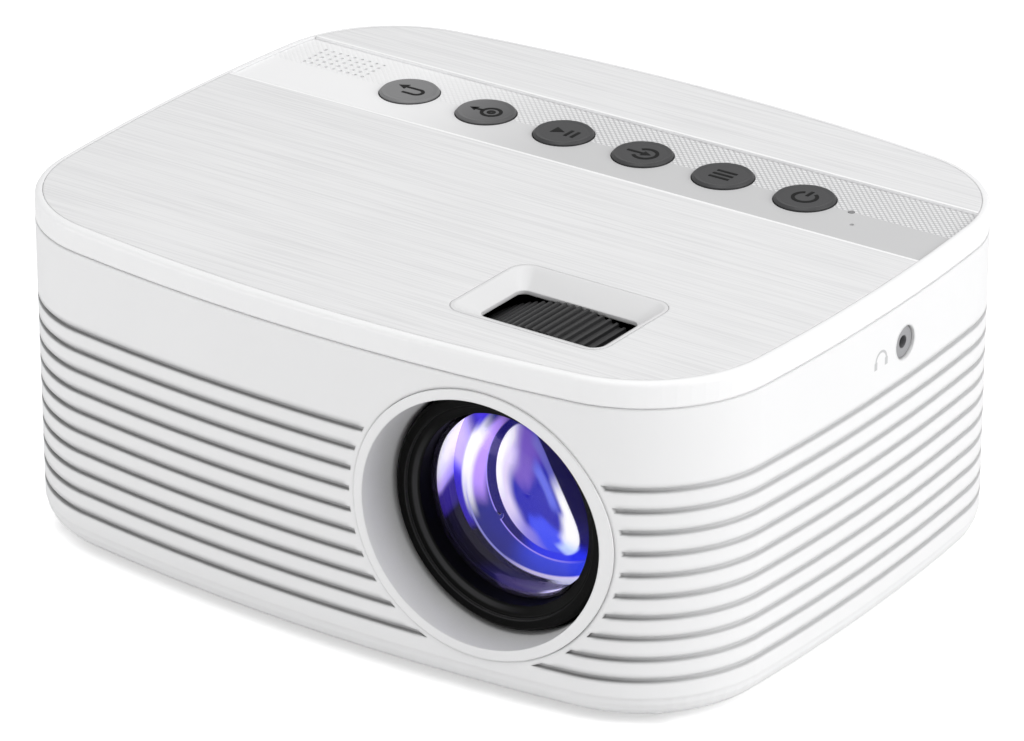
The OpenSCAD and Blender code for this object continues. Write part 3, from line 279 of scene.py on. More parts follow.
@dataclass(frozen=True)
class Finish:
    """A procedural finish on Object coordinates. Subclasses add their own pattern.

    Attributes:
        name: The material's name.
        colour: Main colour.
        roughness: Main roughness.
        metallic: How far it is a bare metal.
        drift: Share by which the tone drifts over the piece.
        grain_scale: Grain cells per metre.
        grain_depth: Depth of the grain.
        edge: Radius to which sharp edges look rounded.
        wear_and_highlight: How far edges show the colour of worn edges; on the lid, the top plates and the black lens
            parts this is a painted edge highlight.
        wear_and_highlight_colour: Colour of a worn edge, or of a painted edge highlight.
        gap: How far narrow gaps darken with painted shade.
        gap_reach: Width of the narrow gaps that get painted shade.
        level: Specular level.
    """

    name: str
    colour: Colour
    roughness: float = 0.4
    metallic: float = 0.0
    drift: float = 0.015
    grain_scale: float = 2500.0
    grain_depth: float = 0.000012
    edge: float = 0.0003
    wear_and_highlight: float = 0.1
    wear_and_highlight_colour: Colour = (0.95, 0.95, 0.95)
    gap: float = 0.0
    gap_reach: float = 0.0025
    level: float = 0.5

    def pattern(self, graph: Graph, colour: Socket) -> Socket:
        """Draws the finish's own pattern over its main colour. A plain finish has none."""
        return colour

    def relief(self, graph: Graph, normal: Socket) -> Socket:
        """Adds the finish's own relief to the normal. A plain finish has none."""
        return normal

    def gap_shade_share(self, graph: Graph) -> Socket | float:
        """Says where narrow gaps get painted shade, as a share. A plain finish paints it everywhere."""
        return 1.0

    def extra(self, graph: Graph, shader: bpy.types.Node) -> None:
        """Sets more on the Principled node. A plain finish has nothing more."""

    def paint(self, graph: Graph, edge: Socket) -> Socket:
        """Draws the base colour: tone, pattern, worn edges with painted edge highlights, and painted shade in narrow
        gaps.

        Args:
            graph: The material's graph.
            edge: Mask of the sharp edges.

        Returns:
            The colour's socket.
        """
        factor = DRIFT.use(graph, Vector=graph.place, Scale=DRIFT_CELLS, Amount=self.drift)["Factor"]
        toned = graph.add("ShaderNodeVectorMath", {0: self.colour, "Scale": factor}, operation="SCALE")
        colour = self.pattern(graph, toned.outputs["Vector"])
        # worn edges, which on some finishes are a painted edge highlight
        worn_and_highlit = graph.span(graph.noise(graph.place, RUB_CELLS), 0.35, 0.7, 0.4 * self.wear_and_highlight, self.wear_and_highlight)
        colour = graph.mix(graph.times(edge, worn_and_highlit), colour, self.wear_and_highlight_colour)
        # painted shade: narrow gaps darken by their occlusion
        if self.gap > 0:
            gaps = GAP_SHADING.use(graph, Distance=self.gap_reach)["Gap"]
            depth = graph.times(graph.span(gaps, *GAP_SPAN, 0.0, self.gap), self.gap_shade_share(graph))
            colour = graph.mix(depth, colour, tuple(GAP_SHADE * part for part in self.colour))
        return colour

    def material(self) -> bpy.types.Material:
        """Builds the material, or returns it where it exists already.

        Returns:
            The material.
        """
        found = bpy.data.materials.get(self.name)
        if found:
            return found
        made = bpy.data.materials.new(self.name)
        graph = Graph(made)
        edges = EDGES.use(graph, Radius=self.edge)
        grain = {"Vector": graph.place, "Scale": self.grain_scale, "Depth": self.grain_depth}
        normal = GRAIN.use(graph, **grain, Normal=edges["Normal"])["Normal"]
        patches = graph.noise(graph.place, PATCH_CELLS, 5.0, 0.6)
        rough = graph.span(patches, 0.25, 0.75, self.roughness * 0.96, min(1.0, self.roughness * 1.05))
        look = {
            "Base Color": self.paint(graph, edges["Edge"]),
            "Roughness": rough,
            "Normal": self.relief(graph, normal),
            "Metallic": self.metallic,
            "Specular IOR Level": self.level,
        }
        shader = graph.add("ShaderNodeBsdfPrincipled", look)
        graph.add("ShaderNodeOutputMaterial", {"Surface": shader.outputs["BSDF"]})
        self.extra(graph, shader)
        return made


@dataclass(frozen=True)
class BrushedPaint(Finish):
    """White paint over metal that was brushed along the width.

    Attributes:
        streak: Colour of the streaks.
        borders: Where the plates end beside the strip, along Y.
        border_w: Half the width of the painted highlights on those edges.
        painted_edge_highlight: Colour of these painted highlights.
    """

    streak: Colour = (0.62, 0.62, 0.63)
    borders: Pair = (0.024, 0.060)
    border_w: float = 0.0008
    painted_edge_highlight: Colour = (0.97, 0.97, 0.975)

    def streaks(self, graph: Graph) -> Socket:
        """Long thin streaks along X.

        Args:
            graph: The material's graph.

        Returns:
            A value from 0 to 1.
        """
        fine = graph.noise(graph.scaled((24, 1400, 1)), 1.0, 3.0, 0.6)
        broad = graph.noise(graph.scaled((9, 600, 1), shift=(3.1, 0, 0)), 1.0, 3.0, 0.6)
        both = graph.math("MULTIPLY_ADD", broad, 0.4, graph.times(fine, 0.6))
        return graph.span(both, 0.40, 0.66)

    def pattern(self, graph: Graph, colour: Socket) -> Socket:
        """Darkens the paint a little in the streaks, and paints highlights on the plates' edges beside the strip."""
        colour = graph.mix(graph.times(self.streaks(graph), 0.5), colour, self.streak)
        _, along, _ = graph.axes()
        for border in self.borders:
            # painted highlight along each edge beside the strip
            edge = graph.span(graph.off(along, border), self.border_w, self.border_w * 1.3, 0.95, 0.0)
            colour = graph.mix(edge, colour, self.painted_edge_highlight)
        return colour

    def relief(self, graph: Graph, normal: Socket) -> Socket:
        """Gives the streaks a shallow depth."""
        return graph.bump(self.streaks(graph), 0.4, 0.00003, normal)


@dataclass(frozen=True)
class MarkedCase(Finish):
    """Grooved case with painted shade under its ribs, and a generic headphone mark printed by the side socket.

    Attributes:
        print_at: Where the mark's middle is, along Y and up.
        print_colour: Its ink.
        bow_r: Radius of its bow.
        line: Half the width of its lines.
        pad_low: How far its ear pads hang under its middle.
        groove_z: Height of the lowest groove.
        groove_pitch: From one groove to the next.
        grooves: Number of grooves.
        groove_shade: Colour of the painted shade on the ribs' lower edges.
        seam_r: Radius at which the lens collar meets the case.
        sockets_x: Middle of the panel of sockets in the back wall.
        sockets_w: Half the panel's width.
    """

    print_at: Pair = (0.0016, 0.0800)
    print_colour: Colour = (0.50, 0.50, 0.51)
    bow_r: float = 0.0026
    line: float = 0.00028
    pad_low: float = 0.0009
    groove_z: float = 0.0149
    groove_pitch: float = 0.0061
    grooves: int = 10
    groove_shade: Colour = (0.20, 0.20, 0.205)
    seam_r: float = 0.0398
    sockets_x: float = -0.015
    sockets_w: float = 0.0725

    def pattern(self, graph: Graph, colour: Socket) -> Socket:
        """Prints a bow and two ear pads on the right wall, over the painted shade under the ribs."""
        x, y, z = graph.axes()
        across, above = graph.less(y, self.print_at[0]), graph.less(z, self.print_at[1])
        reach = graph.math("SQRT", graph.math("ADD", graph.times(across, across), graph.times(above, above)))
        ring = graph.fall(graph.off(reach, self.bow_r), self.line, self.line * 1.6)
        bow = graph.times(ring, graph.span(above, 0.0, 0.0001))
        aside = graph.off(graph.math("ABSOLUTE", across), self.bow_r)
        low = graph.off(above, -self.pad_low)
        pad = graph.times(graph.fall(aside, 0.0006, 0.0008), graph.fall(low, 0.0010, 0.0012))
        ink = graph.times(graph.math("MAXIMUM", bow, pad), graph.span(x, 0.09, 0.1))
        return graph.mix(ink, graph.mix(self.shade(graph), colour, self.groove_shade), self.print_colour)

    def shade(self, graph: Graph) -> Socket:
        """Soft shade on the lower edge of each rib, but none on the collar's seat and the sockets' panel.

        Args:
            graph: The material's graph.

        Returns:
            The shade's mask.
        """
        x, y, z = graph.axes()
        start = self.groove_z - 0.5 * self.groove_pitch
        top = start + self.grooves * self.groove_pitch
        steps = graph.math("DIVIDE", graph.less(z, start), self.groove_pitch)
        off = graph.times(graph.less(graph.math("FRACT", steps), 0.5), self.groove_pitch)
        over = graph.times(graph.span(off, -0.0017, -0.0006), graph.fall(off, 0.0006, 0.0024))
        band = graph.times(graph.span(z, 0.0110, 0.0125), graph.fall(z, top - 0.0005, top))
        side = graph.span(x, *SIDE_X, 0.38, 0.12)
        ring = graph.span(graph.radius(), self.seam_r + 0.0005, self.seam_r + 0.0025)
        clear = graph.math("MAXIMUM", ring, graph.span(y, *FRONT_Y))
        wide = graph.fall(graph.off(x, self.sockets_x), self.sockets_w, self.sockets_w + 0.001)
        panel = graph.times(graph.span(y, 0.06, 0.061), graph.fall(z, 0.0235, 0.024), wide)
        return graph.times(over, band, side, clear, graph.less(1.0, panel))

    def gap_shade_share(self, graph: Graph) -> Socket | float:
        """Paints shade in the grooves, weaker on the right wall, and leaves the seams of lid and collar pale."""
        x, y, z = graph.axes()
        low = graph.fall(z, 0.073, 0.078)
        side = graph.span(x, *SIDE_X, 1.0, 0.2)
        ring = graph.span(graph.radius(), self.seam_r - 0.0008, self.seam_r, 0.95, 0.0)
        seam = graph.times(graph.fall(y, *FRONT_Y), ring)
        return graph.times(low, side, graph.less(1.0, seam))


@dataclass(frozen=True)
class RecessWithPaintedShade(Finish):
    """Collar with painted shade in its deep recess, while its rim stays pale."""

    rim_r: float = 0.0405

    def gap_shade_share(self, graph: Graph) -> Socket | float:
        """Paints the shade only in the recess."""
        return graph.fall(graph.radius(), self.rim_r - 0.0005, self.rim_r + 0.0005)


@dataclass(frozen=True)
class KeysWithPaintedSheen(Finish):
    """Satin keys with a painted sheen that lightens their tops toward the left of the row.

    Attributes:
        pale: Colour of the painted sheen at the left end.
        fade: Where the pale end is and where the main colour is reached, along X.
    """

    pale: Colour = (0.19, 0.19, 0.193)
    fade: Pair = (-0.068, -0.014)

    def pattern(self, graph: Graph, colour: Socket) -> Socket:
        """Paints the sheen: blends the pale colour in toward the left end, on the keys' tops."""
        x, _, z = graph.axes()
        return graph.mix(graph.times(graph.fall(x, *self.fade), graph.span(z, 0.0990, 0.0997)), colour, self.pale)


@dataclass(frozen=True)
class DottedStrip(Finish):
    """Strip whose back half is covered with fine raised dots, and whose left end is pale.

    Attributes:
        pitch: From one dot to the next.
        line: Where the dots begin, along Y.
        dotted: Colour of the dots.
        hollow: Colour between the dots.
        pale_end: Colour of the left end.
        fade: Where the pale end is and where it ends, along X.
    """

    pitch: float = 0.0013
    line: float = 0.0425
    dotted: Colour = (0.78, 0.78, 0.785)
    hollow: Colour = (0.44, 0.44, 0.45)
    pale_end: Colour = (0.84, 0.84, 0.845)
    fade: Pair = (-0.075, 0.0)

    def dots(self, graph: Graph) -> tuple[Socket, Socket]:
        """The dots, and the half of the strip that has them.

        Args:
            graph: The material's graph.

        Returns:
            Mask of the hollows between dots, and mask of the back half.
        """
        turned = graph.scaled((1, 1, 1), turn=(0, 0, math.radians(45)))
        cells = {"Vector": turned, "Scale": 1.0 / self.pitch, "Randomness": 0.0}
        grid = graph.add("ShaderNodeTexVoronoi", cells, voronoi_dimensions="2D")
        back = graph.span(graph.axes()[1], self.line - 0.0001, self.line + 0.0001)
        return graph.times(graph.span(grid.outputs["Distance"], 0.30, 0.46), back), back

    def pattern(self, graph: Graph, colour: Socket) -> Socket:
        """Paints the back half lighter, with darker hollows between the dots."""
        hollow, back = self.dots(graph)
        share = graph.fall(graph.axes()[0], *self.fade)
        colour = graph.mix(share, graph.mix(back, colour, self.dotted), self.pale_end)
        return graph.mix(graph.times(hollow, graph.less(1.0, share), 0.8), colour, self.hollow)

    def relief(self, graph: Graph, normal: Socket) -> Socket:
        """Raises the dots."""
        return graph.bump(self.dots(graph)[0], 0.7, 0.00012, normal, invert=True)


@dataclass(frozen=True)
class Oval:
    """An ellipse round a point near the lens axis.

    Attributes:
        centre: Its middle from the lens axis, right and up, in millimetres.
        size: Its half axes, in millimetres.
        turn: Direction of the first half axis, in degrees.
    """

    centre: Pair = (0.0, 0.0)
    size: Pair = (24.0, 24.0)
    turn: float = 0.0


@dataclass(frozen=True)
class PaintedGleam:
    """A painted reflection in the glass, or a painted sheen on a ring: a curved band of colour, part of an oval.

    Attributes:
        colour: Its colour.
        oval: The oval that it follows.
        band: Where it starts, is full, is full still and ends, as shares of the oval.
        toward: Direction of its middle from the oval's centre, in degrees.
        spread: Angle to each side at which it has faded out.
        strength: Its opacity.
    """

    colour: Colour
    oval: Oval
    band: tuple[float, float, float, float]
    toward: float = 0.0
    spread: float = 180.0
    strength: float = 1.0

    def mask(self, graph: Graph) -> Socket:
        """Draws the band as a mask.

        Args:
            graph: The material's graph.

        Returns:
            The mask's socket.
        """
        (right, up), (long, wide) = self.oval.centre, self.oval.size
        inputs = {
            "Vector": graph.place,
            "Location": (LENS_AXIS[0] + right * MM, 0.0, LENS_AXIS[1] + up * MM),
            "Rotation": (0.0, -math.radians(self.oval.turn), 0.0),
            "Scale": (long * MM, 1000.0, wide * MM),
        }
        spot = graph.add("ShaderNodeMapping", inputs, vector_type="TEXTURE").outputs["Vector"]
        share = graph.length(spot)
        starts, full, full_to, ends = self.band
        mask = graph.times(graph.span(share, starts, full), graph.fall(share, full_to, ends))
        if self.spread < 180.0:
            angle = math.radians(self.toward)
            middle = (math.cos(angle), 0.0, math.sin(angle))
            cosine = graph.math("DIVIDE", graph.dot(spot, middle), graph.math("MAXIMUM", share, 1e-4))
            edge, core = (math.cos(math.radians(part * self.spread)) for part in (1.0, 0.35))
            mask = graph.times(mask, graph.span(cosine, edge, core))
        return graph.times(mask, self.strength)


@dataclass(frozen=True)
class PaintedGleamFinish(Finish):
    """Finish with painted reflections and sheen as curved bands round the lens axis, laid from the lowest to the
    topmost.
    """

    painted_gleams: tuple[PaintedGleam, ...] = ()

    def pattern(self, graph: Graph, colour: Socket) -> Socket:
        """Lays the painted reflections and sheen over the main colour."""
        for gleam in self.painted_gleams:
            colour = graph.mix(gleam.mask(graph), colour, gleam.colour)
        return colour


@dataclass(frozen=True)
class TurnedFinish(PaintedGleamFinish):
    """Finish with fine turning lines round the lens axis, and a painted sheen on parts of its rings."""

    line_pitch: float = 0.0005

    def relief(self, graph: Graph, normal: Socket) -> Socket:
        """Adds the turning lines."""
        wave = graph.math("SINE", graph.times(graph.radius(), 2 * math.pi / self.line_pitch))
        return graph.bump(wave, 0.25, 0.00002, normal)


@dataclass(frozen=True)
class GlassWithPaintedReflections(PaintedGleamFinish):
    """Inner surface of the lens, with painted reflections as curved bands of white, violet and blue, which also shine
    by themselves.

    Attributes:
        painted_glow: Share of its colour that it sends out by itself, as painted light, though no lamp is in it.
    """

    painted_glow: float = 0.55

    def extra(self, graph: Graph, shader: bpy.types.Node) -> None:
        """Lets the painted bands shine by themselves, as painted light."""
        graph.feed(shader.inputs["Emission Color"], shader.inputs["Base Color"].links[0].from_socket)
        graph.feed(shader.inputs["Emission Strength"], self.painted_glow)


@dataclass(frozen=True)
class BoardFinish(Finish):
    """Solder mask with copper tracks that show through it."""

    track: Colour = (0.10, 0.36, 0.16)
    pad: Colour = (0.55, 0.5, 0.38)

    def pattern(self, graph: Graph, colour: Socket) -> Socket:
        """Draws straight tracks and round pads."""
        bricks = {"Vector": graph.scaled((260, 260, 260)), "Mortar Size": 0.045, "Scale": 1.0}
        tracks = graph.add("ShaderNodeTexBrick", bricks, offset=0.5, squash=1.0)
        colour = graph.mix(tracks.outputs["Fac"], colour, self.track)
        pads = graph.add("ShaderNodeTexVoronoi", {"Vector": graph.place, "Scale": 320.0})
        return graph.mix(graph.span(pads.outputs["Distance"], 0.16, 0.12), colour, self.pad)


@dataclass(frozen=True)
class GlassFinish(Finish):
    """Polished glass with a coloured coating.

    Attributes:
        tint: Colour that the coating reflects.
        index: Refractive index.
    """

    tint: Colour = (1.0, 1.0, 1.0)
    index: float = 1.5

    def extra(self, graph: Graph, shader: bpy.types.Node) -> None:
        """Makes the shader a glass with a tinted reflection."""
        look = {"Transmission Weight": 1.0, "IOR": self.index, "Specular Tint": (*self.tint, 1.0)}
        for name, value in look.items():
            graph.feed(shader.inputs[name], value)


def bands(oval: Oval, *rows: tuple) -> tuple[PaintedGleam, ...]:
    """Painted reflections on one oval, each from its screen colour, band, direction, spread and strength."""
    return tuple(PaintedGleam(screen(*colour), oval, *rest) for colour, *rest in rows)


# Painted reflections of the inner lens, as bands on an oval window, a ring round it and the outer field
WINDOW = Oval((-0.2, -1.0), (15.4, 7.6), -61.0)
RING = Oval((0.25, -1.46), (17.5, 10.9), -56.0)
FIELD = Oval((1.5, -1.5), (20.8, 20.8))
INSIDE = (-1, -0.5, 0.97, 1.0)
OUTER = (1.0, 1.06, 1.4, 1.5)
ANYWHERE = (-1, -0.5, 3.0, 4.0)
WHITE, VIOLET = (255, 255, 255), (62, 42, 200)

DOME_PAINTED_REFLECTIONS: tuple[PaintedGleam, ...] = (
    *bands(
        FIELD,
        ((40, 44, 135), (-1, -0.5, 1.0, 1.06), 225, 150),
        ((52, 68, 210), (0.35, 0.6, 0.98, 1.03), 285, 50),
        ((190, 152, 250), (0.6, 0.74, 0.9, 0.98), 164, 40),
        (VIOLET, OUTER, 203, 14),
        ((185, 168, 240), (1.04, 1.1, 1.3, 1.4), 178, 24),
        (VIOLET, OUTER, 194, 16),
        (WHITE, (0.84, 0.95, 1.04, 1.1), 176, 36),
        (VIOLET, OUTER, 142, 20),
        ((18, 14, 58), (1.04, 1.09, 1.5, 1.6), 258, 40),
        (WHITE, (1.04, 1.09, 1.3, 1.4), 304, 20),
        ((165, 165, 240), (0.975, 1.0, 1.012, 1.04), 238, 62, 0.9),
        ((228, 218, 255), (0.955, 0.99, 1.015, 1.05), 278, 44),
        ((225, 228, 255), (0.98, 1.02, 1.1, 1.14), 285, 24),
    ),
    *bands(
        RING,
        ((26, 22, 100), INSIDE),
        ((36, 48, 225), (0.6, 0.8, 0.97, 1.0), -25, 42),
        ((12, 9, 60), (-1, -0.5, 1.1, 1.4), 90, 80),
        ((170, 155, 248), (0.965, 0.99, 1.0, 1.03), -80, 75, 0.85),
    ),
    *bands(
        WINDOW,
        ((32, 32, 165), INSIDE),
        ((60, 76, 232), (0.2, 0.45, 0.95, 1.0), -12, 45),
        ((112, 84, 185), (0.0, 0.35, 0.92, 1.0), 168, 60),
        ((150, 140, 222), (0.5, 0.75, 0.97, 1.0), -70, 45, 0.8),
        ((222, 212, 238), (0.35, 0.7, 0.97, 1.0), -125, 75),
        (WHITE, (0.72, 0.88, 0.97, 1.0), -140, 48),
        ((95, 105, 215), (0.5, 0.62, 0.7, 0.82), 95, 45),
        ((110, 110, 190), (0.8, 0.9, 0.98, 1.0), 120, 35, 0.7),
        (WHITE, (0.76, 0.89, 0.98, 1.02), 50, 56),
        (WHITE, (0.66, 0.84, 0.98, 1.01), 34, 30),
        ((210, 232, 255), (0.75, 0.9, 1.0, 1.04), 4, 18, 0.7),
    ),
)
# painted reflections on the wall of the lens tube
WALL_PAINTED_REFLECTIONS: tuple[PaintedGleam, ...] = bands(
    Oval(),
    (VIOLET, ANYWHERE, 130, 14),
    ((190, 168, 240), ANYWHERE, 186, 16),
    ((52, 36, 130), ANYWHERE, 199, 9),
    (WHITE, ANYWHERE, 160, 32),
    ((20, 17, 66), ANYWHERE, 266, 30),
    ((236, 230, 255), ANYWHERE, 303, 24),
)
# painted sheen on the black lens cell's rings
RING_PAINTED_SHEEN: tuple[PaintedGleam, ...] = (
    PaintedGleam(grey(0.042, 0.002), Oval(size=(28.2, 28.2)), (0.965, 0.985, 1.005, 1.03), toward=212, spread=80),
    PaintedGleam(grey(0.028, 0.001), Oval(size=(30.2, 30.2)), (0.985, 0.993, 1.0, 1.01), toward=225, spread=110),
)

# Finishes of the added pieces, of single nodes and, for all other nodes, of the material slots
SMOOTH: dict[str, float] = {"grain_depth": 0.0, "edge": 0.0001, "wear_and_highlight": 0.0}
MOULDED: dict[str, float] = {"drift": 0.006, "grain_depth": 0.000004, "edge": 0.0006, "wear_and_highlight": 0.04}
ICON_BLACK = Finish("icon_black", plain(0.004), 0.6, wear_and_highlight=0.0, edge=0.00005, level=0.2)
CLOTH_GREY = Finish("speaker_cloth", grey(0.9), 0.95, wear_and_highlight=0.0, grain_scale=3500, grain_depth=0.00008)

FINISH_OF_NODE: dict[str, Finish] = {
    # the lid's bright edge line is a painted highlight, drawn in the worn-edge colour
    "lid": Finish("lid_white", grey(0.85), 0.34, drift=0.01, grain_depth=0.000008, edge=0.0006, wear_and_highlight=0.5),
    "lens_collar": RecessWithPaintedShade("collar_white", grey(0.80), 0.34, **MOULDED, gap=0.62, gap_reach=0.035),
    # the window's trim: a darker copy of the white trim, as painted shade of its well, with painted shade in its
    # narrow gaps too
    "focus_window_trim": Finish("window_white_painted_shade", grey(0.70), 0.32, **MOULDED, gap=0.5, gap_reach=0.006),
    "status_light": Finish("status_light_smoky", grey(0.22), 0.25, wear_and_highlight=0.0, edge=0.0001),
    "audio_jack": Finish("jack_grey", grey(0.30, 0.01), 0.4, wear_and_highlight_colour=plain(0.5), gap=0.7, gap_reach=0.006),
    "focus_ring": Finish(
        "ring_black_ribbed", grey(0.018, 0.001), 0.5,
        wear_and_highlight=0.35, wear_and_highlight_colour=plain(0.07), edge=0.0002, gap=0.5, gap_reach=0.001,
    ),
    "front_lens": GlassFinish("front_glass", (0.96, 0.95, 1.0), 0.02, drift=0.0, **SMOOTH, tint=(0.12, 0.08, 0.30)),
    "rear_lens": GlassFinish("rear_glass", (0.55, 0.45, 0.95), 0.03, drift=0.0, **SMOOTH, tint=(0.8, 0.6, 1.0)),
    # the lens tube's wall: painted reflections that shine by themselves
    "lens_spacer": GlassWithPaintedReflections(
        "lens_tube_painted_reflections", screen(12, 12, 14), 0.3, drift=0.0, **SMOOTH, level=0.05, painted_gleams=WALL_PAINTED_REFLECTIONS
    ),
}

FINISH_OF_SLOT: dict[str, Finish] = {
    "white_case": MarkedCase(
        "case_white", grey(0.80), 0.38,
        drift=0.01, grain_depth=0.000010, edge=0.0013, wear_and_highlight=0.0, gap=0.78, gap_reach=0.0045,
    ),
    "white_trim": Finish("trim_white", grey(0.84), 0.3, **MOULDED, gap=0.25),
    # the plates' bright edge lines are painted highlights, drawn in the worn-edge colour
    "brushed_white": BrushedPaint(
        "plate_brushed", grey(0.80), 0.42, metallic=0.1, grain_depth=0.000003, edge=0.0007, wear_and_highlight=1.0
    ),
    "strip_grey": DottedStrip("strip_dotted", grey(0.56), 0.42, grain_depth=0.000003, edge=0.0002),
    "key_grey": KeysWithPaintedSheen(
        "key_grey_satin", grey(0.040, 0.002), 0.45, wear_and_highlight_colour=plain(0.12), gap=0.8, gap_reach=0.002
    ),
    # the black lens parts' lighter edges are a painted highlight, drawn in the worn-edge colour
    "lens_black": TurnedFinish(
        "lens_black_satin", plain(0.0025), 0.4,
        wear_and_highlight=0.3, wear_and_highlight_colour=plain(0.05), edge=0.0005, level=0.06, painted_gleams=RING_PAINTED_SHEEN,
    ),
    # the inner lens: painted reflections that shine by themselves
    "coated_glass": GlassWithPaintedReflections(
        "inner_glass_painted_reflections", screen(8, 7, 28), 0.12, drift=0.0, **SMOOTH, level=0.05, painted_gleams=DOME_PAINTED_REFLECTIONS
    ),
    "clear_glass": GlassFinish("clear_glass_plain", (0.97, 0.98, 0.98), 0.03, grain_depth=0.0, edge=0.0002, wear_and_highlight=0.0),
    "mirror_glass": Finish("mirror_silvered", grey(0.9, 0.01), 0.03, metallic=1.0, grain_depth=0.0),
    "rubber_black": Finish(
        "foot_rubber", plain(0.02), 0.85, grain_scale=1800, grain_depth=0.00004, wear_and_highlight_colour=plain(0.07)
    ),
    "black_plastic": Finish("moulded_black", grey(0.02, 0.001), 0.5, wear_and_highlight_colour=plain(0.08)),
    "sheet_steel": Finish(
        "sheet_zinc", (0.52, 0.53, 0.54), 0.34, 1.0, 0.08, 700, 0.00001, wear_and_highlight=0.4, wear_and_highlight_colour=plain(0.8)
    ),
    "screw_steel": Finish("screw_steel_plain", grey(0.45, 0.01), 0.3, metallic=1.0, wear_and_highlight_colour=plain(0.8)),
    "sink_aluminium": Finish("sink_aluminium_extruded", (0.75, 0.76, 0.77), 0.38, metallic=1.0, drift=0.05),
    "insert_brass": Finish("insert_brass_turned", (0.70, 0.50, 0.18), 0.3, metallic=1.0, drift=0.06),
    "board_green": BoardFinish("board_green_mask", (0.02, 0.12, 0.05), 0.35, grain_depth=0.00001),
    "tray_grey": Finish("tray_grey_moulded", grey(0.035, 0.003), 0.45, wear_and_highlight=0.3, wear_and_highlight_colour=plain(0.12), gap=0.3),
    "lamp_yellow": Finish("lamp_yellow_phosphor", (0.85, 0.7, 0.15), 0.6),
}


# ---------- modelling


class Bench:
    """Modelling by operators, as by hand: primitives, edit mode and applied modifiers."""

    @staticmethod
    def take(piece: Piece) -> None:
        """Makes one piece the only selected and active one."""
        bpy.ops.object.select_all(action="DESELECT")
        piece.select_set(True)
        bpy.context.view_layer.objects.active = piece

    @classmethod
    def block(cls, name: str, place: Point, size: Point, bevel: float = 0.0, turn: float = 0.0) -> Piece:
        """A cube primitive at its size and place, with bevelled edges.

        Args:
            name: The piece's name.
            place: Its middle.
            size: Its size on each axis.
            bevel: Width of the bevel.
            turn: Turn about the upright axis.

        Returns:
            The piece.
        """
        bpy.ops.mesh.primitive_cube_add(size=1, location=place, rotation=(0, 0, turn))
        bpy.context.active_object.scale = size
        return cls._named(name, bevel)

    @classmethod
    def triangle(cls, name: str, place: Point, radius: float, depth: float, bevel: float, turn: float) -> Piece:
        """A cylinder primitive with three sides and bevelled edges.

        Args:
            name: The piece's name.
            place: Its middle.
            radius: Radius of its corners.
            depth: Its height.
            bevel: Width of the bevel.
            turn: Turn about the upright axis.

        Returns:
            The piece.
        """
        shape = {"vertices": 3, "radius": radius, "depth": depth}
        bpy.ops.mesh.primitive_cylinder_add(**shape, location=place, rotation=(0, 0, turn))
        return cls._named(name, bevel)

    @classmethod
    def _named(cls, name: str, bevel: float = 0.0) -> Piece:
        """Names the active primitive, applies its place and bevels its edges.

        Args:
            name: The piece's name.
            bevel: Width of the bevel.

        Returns:
            The piece.
        """
        piece = bpy.context.active_object
        piece.name = name
        piece.data.name = name
        cls.take(piece)
        bpy.ops.object.transform_apply(location=True, rotation=True, scale=True)
        if bevel > 0:
            modifier = piece.modifiers.new("bevel", "BEVEL")
            modifier.width, modifier.segments = bevel, 2
            modifier.limit_method, modifier.angle_limit = "ANGLE", math.radians(40)
            bpy.ops.object.modifier_apply(modifier=modifier.name)
        return piece

    @classmethod
    def arc(cls, name: str, centre: Point, radius: float, section: Pair, start: float, sweep: float) -> Piece:
        """A flat band bent round an upright axis, made by spinning one end face.

        Args:
            name: The piece's name.
            centre: Middle of the arc, at half the band's height.
            radius: Radius of the band's middle line.
            section: The band's width and height.
            start: Angle of its first end.
            sweep: Angle that it covers.

        Returns:
            The piece.
        """
        at = (centre[0] + radius * math.cos(start), centre[1] + radius * math.sin(start), centre[2])
        bpy.ops.mesh.primitive_plane_add(size=1, location=at, rotation=(math.pi / 2, 0, start))
        bpy.context.active_object.scale = (*section, 1)
        piece = cls._named(name)
        bpy.ops.object.mode_set(mode="EDIT")
        bpy.ops.mesh.select_all(action="SELECT")
        # a positive angle would spin clockwise
        bpy.ops.mesh.spin(steps=24, angle=-sweep, center=centre, axis=(0, 0, 1))
        bpy.ops.mesh.select_all(action="SELECT")
        bpy.ops.mesh.remove_doubles(threshold=1e-7)
        bpy.ops.mesh.normals_make_consistent(inside=False)
        bpy.ops.object.mode_set(mode="OBJECT")
        return piece

    @classmethod
    def join(cls, name: str, parts: list[Piece]) -> Piece:
        """Joins parts into one piece.

        Args:
            name: The piece's name.
            parts: The parts, the first of which stays.

        Returns:
            The joined piece.
        """
        cls.take(parts[0])
        for part in parts:
            part.select_set(True)
        bpy.ops.object.join()
        parts[0].name = name
        parts[0].data.name = name
        return parts[0]

    @classmethod
    def smooth(cls, piece: Piece) -> None:
        """Shades a piece smooth, with its sharp edges kept."""
        cls.take(piece)
        bpy.ops.object.shade_smooth_by_angle(angle=math.radians(SHARP_OVER))


def dress(piece: Piece, finish: Finish) -> None:
    """Gives a piece its finish in every material slot.

    Args:
        piece: The piece or CAD node.
        finish: The finish that it wears.
    """
    made = finish.material()
    if not piece.material_slots:
        piece.data.materials.append(made)
    for place in piece.material_slots:
        place.material = made


